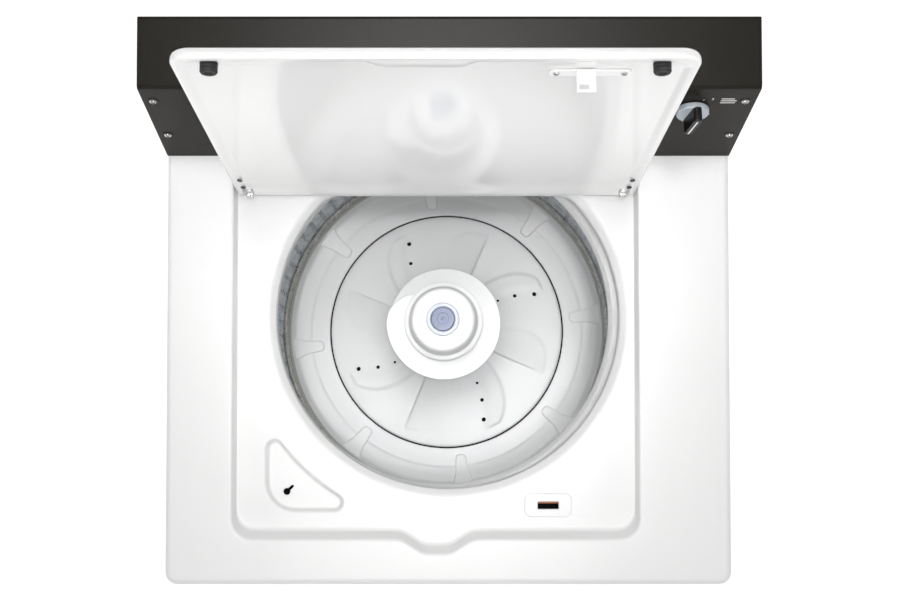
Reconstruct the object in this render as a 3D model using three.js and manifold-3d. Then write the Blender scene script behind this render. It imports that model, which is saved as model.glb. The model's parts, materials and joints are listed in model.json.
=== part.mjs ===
// Top-load washing machine, its lid open: painted cabinet, sloping console, stamped deck with a lid well,
// and a hung tub that holds the spinning basket and a two-piece agitator.
// Millimetres, +Z up, +Y towards the back. The origin is on the floor, under the middle of the machine.
import * as THREE from "three";
import { mergeVertices } from "three/addons/utils/BufferGeometryUtils.js";
import Module from "manifold-3d";

const wasm = await Module();
wasm.setup();

// ---------- driving dimensions ----------
const WIDTH = 699;
const FRONT_Y = -343;
const BACK_Y = 313; // back of the cabinet and console
const FITTING_Y = 343; // end of the hose fittings, the rearmost point
const DECK_Z = 914;
const CONSOLE_Z = 1083;
const SHEET = 1.5; // painted steel sheet
const GAP = 0.3; // between pieces that touch
const CORNER = 15; // radius of the cabinet's front corners

const BASE_Z = 22; // underside of the cabinet
const SEAM_Z = 884; // where the top panel's skirt meets the cabinet

// Lid well: a shallow tray in the deck, a little left of the middle.
const WELL = { left: -267, right: 236, front: -287, back: 168, floor: 886, frontRadius: 25, backRadius: 12 };
const NOTCH = { x: -14, mouth: 44.5, end: 16.5, y: -305 }; // finger notch at the well's front
const LID_X = -15; // middle of the lid
const LIP_Z = 868; // lowest edge of the opening's turned-down lip

// Opening over the basket: a circle cut off straight at the back.
const OPENING = { x: 0, y: -10, radius: 217, backY: 141, fillet: 32 };

// Bleach well: left of the opening, with one side that follows it.
const BLEACH = {
  left: -228, front: -254, arc: 264.5, end: 10, corner: 36, floor: 876, dropX: -203.6, dropY: -231,
};

// Lid: a hollow tray on two side pins.
const LID = {
  width: 498, front: 432, back: 10, top: 6.5, rim: -9, field: -6, skin: 1.2, frontRadius: 16, backRadius: 6,
};
const BUMPER = { x: 215, y: -412, radius: 8.5 };
const HINGE_Y = 152;
const HINGE_Z = 903;
const LID_OPEN = THREE.MathUtils.degToRad(97.25);
const PIN_R = 2.4; // hinge pins
const STRIKE = { plateX: 7, plateHalf: 39, tabX: 2, tabHalf: 9 }; // offsets from the lock's middle

// Lid lock at the right of the well's front, and the strike that enters it.
const LOCK = { x: 125.4, y: -247.5, slotWidth: 26.5, slotDepth: 9.6, padWidth: 60, padDepth: 30 };

// Console front: a sloping panel from the deck to the fold.
const CONSOLE = { footY: 187.5, foldY: 231.4, halfWidth: 349, base: DECK_Z + GAP, lip: 15 };
const CONTROL_RISE = 125; // from the panel's foot to the controls, along the slope
const CONTROLS = [
  { name: "load_knob", x: -190, radius: 19, turn: 135 },
  { name: "temperature_knob", x: -75, radius: 19, turn: 135 },
  { name: "cycle_knob", x: 95, radius: 27, turn: 0 },
  { name: "options_knob", x: 280, radius: 19, turn: 169 },
];
const BUTTON = { x: 190, radius: 11 };
const KNOB = { base: 1, skirt: 8, top: 24, stem: 4 };

// Tub assembly. Its axis stands over the opening's middle, leaning a little left, as a hung tub rests.
const TUB_LEAN = THREE.MathUtils.degToRad(1.3);
const FLOOR_Z = 550; // top of the basket's floor, and the height that the tub leans about
const TUB = { outer: 285, wall: 4, bottom: 478, top: 815 };
const BASKET = { inner: 240, wall: 1.2, top: 836 };
const BALANCE = { inner: 212, outer: 246, bottom: 822, top: 856 };
const AGITATOR_R = 175;
const AUGER_R = 77.6;
const SHAFT_R = 9;

// Hanging rods in the cabinet's corners.
const ROD = { x: 247, y: 247, radius: 5, top: 830, bottom: 400, cap: 20 };
const EAR = { bottom: 505, top: 525, half: 26, hole: 11 };

// Belt drive under the tub.
const PULLEY = { radius: 95, bottom: 262, top: 280 };
const MOTOR = { x: -134, y: -134, radius: 65, bottom: 322, top: 434, pulley: 24 };
const PUMP = { x: 150, y: -120, radius: 46, bottom: 398, top: 462 };

const FEET = [[-300, -297], [300, -297], [-300, 270], [300, 270]];

// Water, drain and cord fittings on the back.
const INLETS = [150, 210];
const INLET_Z = 852;
const DRAIN = { x: -262, z: 782, radius: 16, bore: 11 };
const GLAND = { x: -195, z: 852, radius: 12 };

// Sides of a full round, and how far an outline's arc may lie from its facets.
const FINE = 32;
const MEDIUM = 20;
const COARSE = 12;
const FACET = 0.6;

// ---------- solids ----------
// A three.js geometry as a manifold solid.
function solid(geometry) {
  const bare = geometry.index ? geometry.toNonIndexed() : geometry.clone();
  bare.deleteAttribute("normal");
  bare.deleteAttribute("uv");
  const merged = mergeVertices(bare, 1e-4);
  const corners = merged.index.array;
  const triangles = [];
  for (let i = 0; i < corners.length; i += 3) {
    const [a, b, c] = [corners[i], corners[i + 1], corners[i + 2]];
    if (a !== b && b !== c && c !== a) triangles.push(a, b, c);
  }
  const vertProperties = merged.attributes.position.array;
  const triVerts = new Uint32Array(triangles);
  return new wasm.Manifold(new wasm.Mesh({ numProp: 3, vertProperties, triVerts }));
}

const join = (first, ...rest) => rest.reduce((whole, piece) => whole.add(piece), first);
const cut = (first, ...rest) => rest.reduce((whole, piece) => whole.subtract(piece), first);

// A box between two corners.
function block([x0, y0, z0], [x1, y1, z1]) {
  const box = new THREE.BoxGeometry(x1 - x0, y1 - y0, z1 - z0);
  return solid(box.translate((x0 + x1) / 2, (y0 + y1) / 2, (z0 + z1) / 2));
}

// An upright round bar, or a cone where the top radius differs.
function drum(radius, z0, z1, { x = 0, y = 0, sides = COARSE, topRadius = radius } = {}) {
  const bar = new THREE.CylinderGeometry(topRadius, radius, z1 - z0, sides).rotateX(Math.PI / 2);
  return solid(bar.translate(x, y, (z0 + z1) / 2));
}

// A round bar along X, between two ends.
function barX(radius, x0, x1, y, z, sides = COARSE) {
  const bar = new THREE.CylinderGeometry(radius, radius, x1 - x0, sides).rotateZ(-Math.PI / 2);
  return solid(bar.translate((x0 + x1) / 2, y, z));
}

// A round bar along Y, between two ends.
function barY(radius, y0, y1, x, z, sides = COARSE) {
  const bar = new THREE.CylinderGeometry(radius, radius, y1 - y0, sides);
  return solid(bar.translate(x, (y0 + y1) / 2, z));
}

// An outline in XY, raised from z0 to z1.
function slab(points, z0, z1) {
  return solid(raised(points, z1 - z0).translate(0, 0, z0));
}

function raised(points, depth) {
  const outline = new THREE.Shape(points.map(([x, y]) => new THREE.Vector2(x, y)));
  return new THREE.ExtrudeGeometry(outline, { depth, bevelEnabled: false });
}

// An outline in YZ, drawn out along X.
function beam(points, x0, x1) {
  const outline = new THREE.Shape(points.map(([y, z]) => new THREE.Vector2(y, z)));
  const drawn = new THREE.ExtrudeGeometry(outline, { depth: x1 - x0, bevelEnabled: false });
  const turn = new THREE.Matrix4().makeBasis(
    new THREE.Vector3(0, 1, 0),
    new THREE.Vector3(0, 0, 1),
    new THREE.Vector3(1, 0, 0),
  );
  return solid(drawn.applyMatrix4(turn).translate(x0, 0, 0));
}

// Points along an arc from one angle to another, ends included.
function arc(x, y, radius, from, to) {
  const step = 2 * Math.acos(1 - Math.min(FACET / radius, 0.5));
  const steps = Math.max(2, Math.ceil(Math.abs(to - from) / step));
  return Array.from({ length: steps + 1 }, (_, i) => {
    const angle = from + ((to - from) * i) / steps;
    return [x + radius * Math.cos(angle), y + radius * Math.sin(angle)];
  });
}

// A closed profile of [radius, z] points, counter-clockwise, turned around the Z axis.
function turned(points, sides = FINE) {
  const profile = [...points, points[0]].map(([r, z]) => new THREE.Vector2(r, z));
  return solid(new THREE.LatheGeometry(profile, sides).rotateX(Math.PI / 2));
}

// A round tube along a curve, with a bore where one is given.
function tube(curve, radius, steps, bore = 0, sides = 8) {
  const ring = new THREE.Shape().absarc(0, 0, radius, 0, 2 * Math.PI, false);
  if (bore) ring.holes.push(new THREE.Path().absarc(0, 0, bore, 0, 2 * Math.PI, true));
  return solid(new THREE.ExtrudeGeometry(ring, { extrudePath: curve, steps, curveSegments: sides / 2 }));
}

// Puts a finished solid in a group as a named mesh.
function add(group, name, shape, finish) {
  const made = shape.getMesh();
  const geometry = new THREE.BufferGeometry();
  geometry.setAttribute("position", new THREE.BufferAttribute(made.vertProperties, 3));
  geometry.setIndex(new THREE.BufferAttribute(made.triVerts, 1));
  geometry.computeVertexNormals();
  const mesh = new THREE.Mesh(geometry, finish);
  mesh.name = name;
  group.add(mesh);
  return mesh;
}

// ---------- outlines ----------
function roundedRect(x0, y0, x1, y1, radius, backRadius = radius) {
  return [
    ...arc(x0 + radius, y0 + radius, radius, Math.PI, 1.5 * Math.PI),
    ...arc(x1 - radius, y0 + radius, radius, 1.5 * Math.PI, 2 * Math.PI),
    ...arc(x1 - backRadius, y1 - backRadius, backRadius, 0, 0.5 * Math.PI),
    ...arc(x0 + backRadius, y1 - backRadius, backRadius, 0.5 * Math.PI, Math.PI),
  ];
}

// The lid well's outline with its finger notch, grown outwards by a margin.
function wellOutline(margin = 0) {
  const { left, right, front, back, frontRadius, backRadius } = WELL;
  const radius = frontRadius + margin;
  const rear = backRadius + margin;
  const [x0, y0, x1, y1] = [left - margin, front - margin, right + margin, back + margin];
  return [
    ...arc(x0 + radius, y0 + radius, radius, Math.PI, 1.5 * Math.PI),
    [NOTCH.x - NOTCH.mouth - margin / 2, y0],
    [NOTCH.x - NOTCH.end - margin / 2, NOTCH.y - margin],
    [NOTCH.x + NOTCH.end + margin / 2, NOTCH.y - margin],
    [NOTCH.x + NOTCH.mouth + margin / 2, y0],
    ...arc(x1 - radius, y0 + radius, radius, 1.5 * Math.PI, 2 * Math.PI),
    ...arc(x1 - rear, y1 - rear, rear, 0, 0.5 * Math.PI),
    ...arc(x0 + rear, y1 - rear, rear, 0.5 * Math.PI, Math.PI),
  ];
}

// The basket opening's outline: a circle, cut off at the back with rounded corners.
function openingOutline(margin = 0) {
  const radius = OPENING.radius + margin;
  const fillet = OPENING.fillet + margin;
  const rise = OPENING.backY + margin - fillet - OPENING.y;
  const reach = Math.sqrt((radius - fillet) ** 2 - rise ** 2);
  const turn = Math.atan2(rise, reach);
  return [
    ...arc(OPENING.x, OPENING.y, radius, Math.PI - turn, 2 * Math.PI + turn),
    ...arc(OPENING.x + reach, OPENING.y + rise, fillet, turn, 0.5 * Math.PI),
    ...arc(OPENING.x - reach, OPENING.y + rise, fillet, 0.5 * Math.PI, Math.PI - turn),
  ];
}

// The bleach well's outline: two straight sides, and one that curves around the opening.
function bleachOutline(margin = 0) {
  const { left, front, arc: bend, end, corner } = BLEACH;
  const round = end + margin;
  const reach = bend + end;
  const rightY = front + end;
  const rightX = -Math.sqrt(reach ** 2 - (rightY - OPENING.y) ** 2);
  const topX = left + end;
  const topY = OPENING.y - Math.sqrt(reach ** 2 - topX ** 2);
  const rightTurn = Math.atan2(rightY - OPENING.y, rightX);
  const topTurn = Math.atan2(topY - OPENING.y, topX);
  return [
    ...arc(left + corner, front + corner, corner + margin, -Math.PI, -0.5 * Math.PI),
    ...arc(rightX, rightY, round, -0.5 * Math.PI, rightTurn + Math.PI),
    ...arc(OPENING.x, OPENING.y, bend - margin, rightTurn, topTurn),
    ...arc(topX, topY, round, topTurn + Math.PI, Math.PI),
  ];
}

// ---------- finishes ----------
const finish = (color, roughness, metalness) => new THREE.MeshStandardMaterial({ color, roughness, metalness });
const WHITE_PAINT = finish(0xf2f2f0, 0.25, 0.0);
const WHITE_PLASTIC = finish(0xe4e5e2, 0.4, 0.0);
const GRAPHITE = finish(0x45423c, 0.35, 0.6);
const DARK_PLASTIC = finish(0x1c1c1c, 0.5, 0.0);
const STEEL = finish(0xa9adb0, 0.3, 0.9);
const ZINC = finish(0x9aa0a3, 0.45, 0.8);
const ALUMINIUM = finish(0xb9bcbc, 0.5, 0.8);
const GREY_PLASTIC = finish(0x8c9096, 0.5, 0.0);
const RUBBER = finish(0x141414, 0.8, 0.0);
const BOARD = finish(0x2d5b3a, 0.6, 0.0);
const CAP_BLUE = finish(0x8791af, 0.4, 0.0);

// ---------- cabinet ----------
function cabinetShell() {
  const half = WIDTH / 2;
  const back = BACK_Y - 2;
  const flange = 26;
  const outer = slab(roundedRect(-half, FRONT_Y, half, back, CORNER, 1), BASE_Z, SEAM_Z - 2 * GAP);
  const hollow = roundedRect(-half + SHEET, FRONT_Y + SHEET, half - SHEET, back - SHEET, CORNER - SHEET, 0.5);
  const inner = slab(hollow, BASE_Z - 1, SEAM_Z + 1);
  const doorway = block([-half + flange, back - 5, BASE_Z - 1], [half - flange, back + 1, SEAM_Z + 1]);
  return join(cut(outer, inner, doorway), ...rodBrackets());
}

// Four corner plates that the hanging rods' heads rest on. Each bites a little into the sheet.
function rodBrackets() {
  const plates = [];
  for (const side of [-1, 1]) {
    for (const end of [-1, 1]) {
      const wallX = side * (WIDTH / 2 - 0.5);
      const wallY = end < 0 ? FRONT_Y + 0.5 : BACK_Y - 2.5;
      const [rodX, rodY] = [side * ROD.x, OPENING.y + end * ROD.y];
      const outline = [
        [wallX, rodY - end * 45],
        [wallX, wallY - end * CORNER],
        [wallX - side * CORNER, wallY],
        [rodX - side * 28, wallY],
        [rodX - side * 18, rodY - end * 20],
      ];
      const plate = slab(outline, ROD.top - 4, ROD.top);
      plates.push(cut(plate, drum(ROD.radius + 2, ROD.top - 5, ROD.top + 1, { x: rodX, y: rodY })));
    }
  }
  return plates;
}

function rearPanel() {
  const half = WIDTH / 2 - 3;
  const front = BACK_Y - 2 + GAP;
  const plate = block([-half, front, BASE_Z + 18], [half, BACK_Y, SEAM_Z - 2 * GAP]);
  const inletHoles = INLETS.map((x) => barY(15.5, front - 1, BACK_Y + 1, x, INLET_Z));
  const drainHole = barY(DRAIN.radius + 1, front - 1, BACK_Y + 1, DRAIN.x, DRAIN.z);
  const glandHole = barY(GLAND.radius - 2, front - 1, BACK_Y + 1, GLAND.x, GLAND.z);
  return cut(plate, ...inletHoles, drainHole, glandHole);
}

// An upturned channel between the side walls, with a hole for each foot's stem.
function baseBrace(y) {
  const half = WIDTH / 2 - SHEET - 1;
  const [near, far, top] = [y - 30, y + 30, BASE_Z + 42];
  const section = [
    [near, BASE_Z + 2], [far, BASE_Z + 2], [far, top], [far - 2, top],
    [far - 2, BASE_Z + 4], [near + 2, BASE_Z + 4], [near + 2, top], [near, top],
  ];
  const holes = [-300, 300].map((x) => drum(8.5, BASE_Z, BASE_Z + 6, { x, y }));
  return cut(beam(section, -half, half), ...holes);
}

// A levelling foot: a pad that grips the floor, and a threaded stem drawn plain.
function foot() {
  return join(
    drum(19, 0, 8, { sides: 24, topRadius: 21 }),
    drum(21, 8, 13, { sides: 24, topRadius: 15 }),
    drum(6.5, 13, 62, { sides: 16 }),
  );
}

// ---------- top panel ----------
function topPanel() {
  const half = WIDTH / 2;
  const sheet = 2;
  const outer = slab(roundedRect(-half, FRONT_Y, half, BACK_Y, CORNER, 2), SEAM_Z, DECK_Z);
  const under = roundedRect(-half + sheet, FRONT_Y + sheet, half - sheet, BACK_Y - sheet, CORNER - sheet, 1);
  const wellFloor = WELL.floor - sheet;
  let panel = cut(outer, slab(under, SEAM_Z - 1, DECK_Z - sheet));
  panel = join(panel, slab(wellOutline(sheet), wellFloor, DECK_Z));
  panel = join(panel, slab(openingOutline(sheet), LIP_Z, WELL.floor));
  panel = join(panel, slab(bleachOutline(sheet), BLEACH.floor - sheet, WELL.floor));
  panel = cut(panel, slab(wellOutline(), WELL.floor, DECK_Z + 1));
  panel = cut(panel, slab(openingOutline(), LIP_Z - 1, WELL.floor + 1));
  panel = cut(panel, slab(bleachOutline(), BLEACH.floor, WELL.floor + 1));
  const drop = drum(4, BLEACH.floor - 3, BLEACH.floor + 1, { x: BLEACH.dropX, y: BLEACH.dropY, sides: 12 });
  const [padX, padY] = [LOCK.padWidth / 2 - 3, LOCK.padDepth / 2 - 3];
  const lockHole = roundedRect(LOCK.x - padX, LOCK.y - padY, LOCK.x + padX, LOCK.y + padY, 6);
  const pinHoles = [WELL.left - 3, WELL.right - 3].map((x) => barX(PIN_R + 0.8, x, x + 6, HINGE_Y, HINGE_Z));
  return cut(panel, drop, slab(lockHole, wellFloor - 1, WELL.floor + 1), ...pinHoles);
}

// The chute under the bleach well: it takes what is poured to the gap between basket and tub.
function bleachChute() {
  const top = BLEACH.floor - 2 - GAP;
  const start = new THREE.Vector2(BLEACH.dropX, BLEACH.dropY);
  const end = new THREE.Vector2(-184, -209);
  const along = end.clone().sub(start).angle();
  const length = start.distanceTo(end);
  const trough = (reach, wall, z0, z1) => {
    const near = arc(0, 0, wall, 0.5 * Math.PI, 1.5 * Math.PI);
    const far = arc(reach, 0, wall, -0.5 * Math.PI, 0.5 * Math.PI);
    return solid(raised([...near, ...far], z1 - z0).rotateZ(along).translate(start.x, start.y, z0));
  };
  const outlet = drum(5, top - 14, top - 8, { x: end.x, y: end.y, sides: 12 });
  return cut(trough(length, 9, top - 12, top), trough(length, 7, top - 10, top + 1), outlet);
}

// ---------- lid lock ----------
function lockBezel() {
  const [padX, padY] = [LOCK.padWidth / 2, LOCK.padDepth / 2];
  const pad = roundedRect(LOCK.x - padX, LOCK.y - padY, LOCK.x + padX, LOCK.y + padY, 9);
  const neckX = padX - 3 - 2 * GAP;
  const neckY = padY - 3 - 2 * GAP;
  const neck = roundedRect(LOCK.x - neckX, LOCK.y - neckY, LOCK.x + neckX, LOCK.y + neckY, 5);
  const whole = join(slab(pad, WELL.floor + GAP, WELL.floor + 2.5), slab(neck, WELL.floor - 5, WELL.floor + 1));
  return cut(whole, slotSpace(WELL.floor - 6, WELL.floor + 3));
}

function slotSpace(z0, z1) {
  const [halfX, halfY] = [LOCK.slotWidth / 2, LOCK.slotDepth / 2];
  return block([LOCK.x - halfX, LOCK.y - halfY, z0], [LOCK.x + halfX, LOCK.y + halfY, z1]);
}

// The bolt runs front to back, through the slot, into the window of the lid's strike.
const BOLT = { halfX: 3, bottom: 876.4, top: 879.2, front: -292, back: -262 };

function lockHousing() {
  const top = WELL.floor - 5 - GAP;
  const body = block([LOCK.x - 36, -302, 866], [LOCK.x + 36, -234, top]);
  const slot = slotSpace(869, top + 1);
  const channel = block(
    [LOCK.x - BOLT.halfX - 0.5, BOLT.front - 2, BOLT.bottom - 0.5],
    [LOCK.x + BOLT.halfX + 0.5, LOCK.y + 10, top + 1],
  );
  return cut(body, slot, channel);
}

function lockBolt() {
  return block([LOCK.x - BOLT.halfX, BOLT.front, BOLT.bottom], [LOCK.x + BOLT.halfX, BOLT.back, BOLT.top]);
}

// ---------- console ----------
const SLOPE = Math.atan2(CONSOLE_Z - CONSOLE.base, CONSOLE.foldY - CONSOLE.footY);
// A point on the panel's face, a distance up the slope.
const onSlope = (rise) => [CONSOLE.footY + rise * Math.cos(SLOPE), CONSOLE.base + rise * Math.sin(SLOPE)];

// The bent sheet's section, pulled inwards by an inset.
function consoleSection(inset) {
  const lean = inset / Math.sin(SLOPE);
  const fold = lean - inset / Math.tan(SLOPE);
  return [
    [CONSOLE.footY + lean, CONSOLE.base],
    [BACK_Y - inset, CONSOLE.base],
    [BACK_Y - inset, CONSOLE_Z - inset],
    [CONSOLE.foldY + fold, CONSOLE_Z - inset],
  ];
}

function consolePanel() {
  const half = CONSOLE.halfWidth;
  const sheet = beam(consoleSection(0), -half, half);
  const hollow = beam(consoleSection(SHEET), -half - 1, half + 1);
  const lipZ = CONSOLE_Z - CONSOLE.lip;
  const back = block([-half - 1, BACK_Y - 4, CONSOLE.base - 1], [half + 1, BACK_Y + 1, lipZ]);
  const mouthY = CONSOLE.footY + 12;
  const mouth = block([-half - 1, mouthY, CONSOLE.base - 1], [half + 1, BACK_Y, CONSOLE.base + 4]);
  return cut(sheet, hollow, back, mouth, ...controlHoles());
}

// Holes for the knobs' stems and the start button, square to the panel.
function controlHoles() {
  const holes = CONTROLS.map(({ x }) => controlBar(x, KNOB.stem + 1));
  return [...holes, controlBar(BUTTON.x, BUTTON.radius + 0.8)];
}

function controlBar(x, radius) {
  const [y, z] = onSlope(CONTROL_RISE);
  const bar = new THREE.CylinderGeometry(radius, radius, 20, COARSE).rotateX(Math.PI / 2);
  return solid(bar.rotateX(SLOPE).translate(x, y, z));
}

function consoleEnd(side) {
  const [inner, outer] = [side * (CONSOLE.halfWidth - 3), side * (CONSOLE.halfWidth - 0.5)];
  return beam(consoleSection(SHEET + GAP), Math.min(inner, outer), Math.max(inner, outer));
}

function consoleBack() {
  const half = CONSOLE.halfWidth - 3.5;
  return block([-half, BACK_Y - SHEET, CONSOLE.base + GAP], [half, BACK_Y, CONSOLE_Z - CONSOLE.lip - GAP]);
}

// The control board stands behind the panel, with its relay and transformer.
function controlBoard() {
  return join(
    block([-60, -28, -1.6], [150, 28, 0]),
    block([-40, -14, -22], [0, 14, -1]),
    block([30, -12, -18], [52, 10, -1]),
    block([90, -8, -14], [130, 12, -1]),
  );
}

// ---------- controls ----------
// A knob in its own frame: +Z out of the panel, its pointer along +Y.
function knob(radius) {
  const grip = roundedRect(-radius * 0.26, -radius * 1.02, radius * 0.26, radius * 1.02, radius * 0.22);
  return join(
    drum(radius, KNOB.base, KNOB.skirt, { sides: 20, topRadius: radius * 0.94 }),
    slab(grip, KNOB.skirt - 1, KNOB.top),
    drum(KNOB.stem, -14, KNOB.base + 1, { sides: 8 }),
  );
}

function startButton() {
  return join(drum(BUTTON.radius, -8, 5, { sides: 24 }), drum(BUTTON.radius + 3, -10, -8, { sides: 24 }));
}

// ---------- lid ----------
// In the lid's frame the hinge axis is X, the lid reaches along -Y and its painted top faces +Z.
function lidPanel() {
  const half = LID.width / 2;
  const { front, back, top, rim, field, skin, frontRadius, backRadius } = LID;
  const outline = (inset, rear) =>
    roundedRect(-half + inset, -front + inset, half - inset, back - rear, frontRadius - inset / 2, backRadius);
  const flange = 7;
  const whole = slab(outline(0, 0), rim, top);
  const tray = slab(outline(flange, flange), rim - 1, field);
  const hollow = slab(outline(skin, -2 * backRadius - 2), field + skin, top - skin);
  const pinHoles = [-half - 1, half - 9].map((x) => barX(PIN_R + 0.6, x, x + 10, 0, 0));
  return cut(whole, tray, hollow, ...pinHoles);
}

// A hinge: a plate screwed inside the lid's corner, with the pin that turns in the well's side wall.
function hinge(side) {
  const half = LID.width / 2;
  const ends = [side * (half - 30), side * (half + 9)].sort((a, b) => a - b);
  const plate = block([half - 32, -7, LID.field + LID.skin + GAP], [half - 12, 7, -1]);
  return join(barX(PIN_R, ...ends, 0, 0), side > 0 ? plate : plate.mirror([1, 0, 0]));
}

function lidBumper() {
  const end = WELL.floor - HINGE_Z + 2 * GAP;
  const { radius } = BUMPER;
  return turned([[0, end], [radius - 2, end], [radius, end + 2], [radius, end + 4.5], [radius - 1.1, end + 5.5],
    [radius, end + 6.5], [radius, LID.field - GAP], [0, LID.field - GAP]], COARSE);
}

// The strike: a plate under the lid with a windowed tab that drops into the lock.
function lidStrike() {
  const reach = HINGE_Y - LOCK.y;
  const x = LOCK.x - LID_X;
  const plateTop = LID.field - GAP;
  const tip = BOLT.bottom - HINGE_Z - 3;
  const window = block(
    [x - BOLT.halfX - 2, -reach - 5, BOLT.bottom - HINGE_Z - 1],
    [x + BOLT.halfX + 2, -reach + 5, BOLT.top - HINGE_Z + 1.5],
  );
  const [plateX, tabX] = [x + STRIKE.plateX, x + STRIKE.tabX];
  const outline = roundedRect(plateX - STRIKE.plateHalf, -reach + 1, plateX + STRIKE.plateHalf, -reach + 15, 5);
  const plate = slab(outline, plateTop - 1.8, plateTop);
  const tab = block([tabX - STRIKE.tabHalf, -reach - 1, tip], [tabX + STRIKE.tabHalf, -reach + 1.6, plateTop]);
  return cut(join(plate, tab), window);
}

// ---------- tub assembly ----------
function outerTub() {
  const { outer, wall, bottom, top } = TUB;
  const inner = outer - wall;
  const shell = turned([[48, bottom], [outer - 20, bottom], [outer, bottom + 20], [outer, top],
    [inner, top], [inner, bottom + 22], [outer - 22, bottom + 6], [48, bottom + 6]]);
  const ears = [];
  for (const side of [-1, 1]) {
    for (const end of [-1, 1]) {
      const [x, y] = [side * ROD.x, end * ROD.y];
      const arm = [
        [side * 170, end * (170 + 55)],
        [side * (170 + 55), end * 170],
        [x + side * EAR.half, y - end * EAR.half * 0.4],
        [x + side * EAR.half, y + end * EAR.half],
        [x - side * EAR.half * 0.4, y + end * EAR.half],
      ];
      ears.push(cut(slab(arm, EAR.bottom, EAR.top), drum(EAR.hole, EAR.bottom - 1, EAR.top + 1, { x, y })));
    }
  }
  const bore = drum(inner - 0.5, EAR.bottom - 2, EAR.top + 2, { sides: FINE });
  const sumpHole = drum(14, bottom - 1, bottom + 8, { x: PUMP.x, y: PUMP.y });
  return cut(join(shell, ...ears.map((ear) => cut(ear, bore))), sumpHole);
}

// The ring clipped on the tub's rim: it keeps suds in, and has a hole below the bleach chute.
function tubRing() {
  const { outer, wall, top } = TUB;
  const lap = outer - wall - 1;
  const ring = turned([[251, top + 6], [lap, top + 6], [lap, top + 1], [outer + 1, top + 1],
    [outer + 1, top - 12], [outer + 4, top - 12], [outer + 4, top + 9], [254, top + 9], [254, top + 38],
    [251, top + 38]]);
  return cut(ring, drum(9, top, top + 12, { x: -184, y: -199, sides: 12 }));
}

function basketWall() {
  const { inner, wall, top } = BASKET;
  const outer = inner + wall;
  return turned([[inner, 546], [outer, 546], [outer, top], [inner, top]]);
}

// The basket's moulded floor: a dish for the agitator, a flat ring with teeth, and a cove up to the wall.
function basketBase() {
  const rim = BASKET.inner - GAP;
  const dish = turned([[26, 532], [182, 532], [190, 542], [rim, 542], [rim, 580], [rim - 3, 580],
    [rim - 4, 562], [228, FLOOR_Z], [180, FLOOR_Z], [178.5, 536], [26, 536]]);
  const teeth = [];
  for (let i = 0; i < 8; i++) {
    const wedge = [[186, -4], [223, -18], [226, 0], [223, 18], [186, 4]];
    const angle = THREE.MathUtils.degToRad(6.5 + 45 * i);
    teeth.push(solid(raised(wedge, 6).rotateZ(angle).translate(0, 0, FLOOR_Z - 2)));
  }
  return join(dish, ...teeth);
}

function balanceRing() {
  const { inner, outer, bottom, top } = BALANCE;
  const seat = BASKET.inner + BASKET.wall + GAP;
  const under = BASKET.top + GAP;
  return turned([[inner + 6, bottom], [BASKET.inner - GAP, bottom], [BASKET.inner - GAP, under], [seat, under],
    [seat, bottom], [outer, bottom], [outer, top - 4], [outer - 4, top], [inner + 5, top], [inner, top - 6]]);
}

// The metal hub that carries the basket on the spin tube.
function basketHub() {
  return turned([[26.5, 500], [44, 500], [44, 520], [110, 527], [110, 531.6], [26.5, 531.6]], MEDIUM);
}

// The gearcase: plate, housing, the bearing tube up through the tub's floor, and the bore for the shaft.
function gearcase() {
  const plate = slab(roundedRect(-190, -190, 96, 96, 40), 440, 446);
  const housing = turned([[0, 304], [62, 304], [62, 400], [48, 446], [47, 494], [24, 498], [24, 534], [0, 534]],
    MEDIUM);
  const inputBore = drum(13, 303, 330, { sides: 24 });
  const outputBore = drum(SHAFT_R + 1.5, 380, 540, { sides: 24 });
  const shaftHole = drum(10, 430, 450, { x: MOTOR.x, y: MOTOR.y });
  return cut(join(plate, housing), inputBore, outputBore, shaftHole);
}

function driveMotor() {
  const { x, y, radius, bottom, top } = MOTOR;
  const body = drum(radius, bottom, top, { x, y, sides: 32 });
  const boss = drum(22, bottom - 14, bottom + 1, { x, y });
  const lug = drum(radius - 15, top - 1, 440 - GAP, { x, y, sides: 32 });
  return cut(join(body, boss, lug), drum(8, bottom - 15, bottom + 30, { x, y }));
}

function drivePulley() {
  const { radius, bottom, top } = PULLEY;
  return turned([[0, bottom], [radius + 4, bottom], [radius, bottom + 3], [radius, top - 3], [radius + 4, top],
    [radius - 12, top], [radius - 14, bottom + 6], [24, bottom + 6], [12, top + 2], [12, top + 46],
    [0, top + 46]], MEDIUM);
}

function motorPulley() {
  const { pulley } = MOTOR;
  const { bottom, top } = PULLEY;
  return turned([[0, bottom], [pulley + 4, bottom], [pulley, bottom + 3], [pulley, top - 3], [pulley + 4, top],
    [7, top + 4], [7, top + 66], [0, top + 66]], 16);
}

// The belt's loop around both pulleys, a hair clear of each.
function driveBelt() {
  const apart = Math.hypot(MOTOR.x, MOTOR.y);
  const along = Math.atan2(MOTOR.y, MOTOR.x);
  const loop = (margin) => {
    const [large, small] = [PULLEY.radius + margin, MOTOR.pulley + margin];
    const wrap = Math.acos((large - small) / apart);
    return [...arc(0, 0, large, wrap, 2 * Math.PI - wrap), ...arc(apart, 0, small, -wrap, wrap)];
  };
  const [z0, z1] = [PULLEY.bottom + 4, PULLEY.top - 4];
  const band = (margin, low, high) =>
    solid(raised(loop(margin), high - low).rotateZ(along).translate(0, 0, low));
  return cut(band(4, z0, z1), band(1, z0 - 1, z1 + 1));
}

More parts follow.
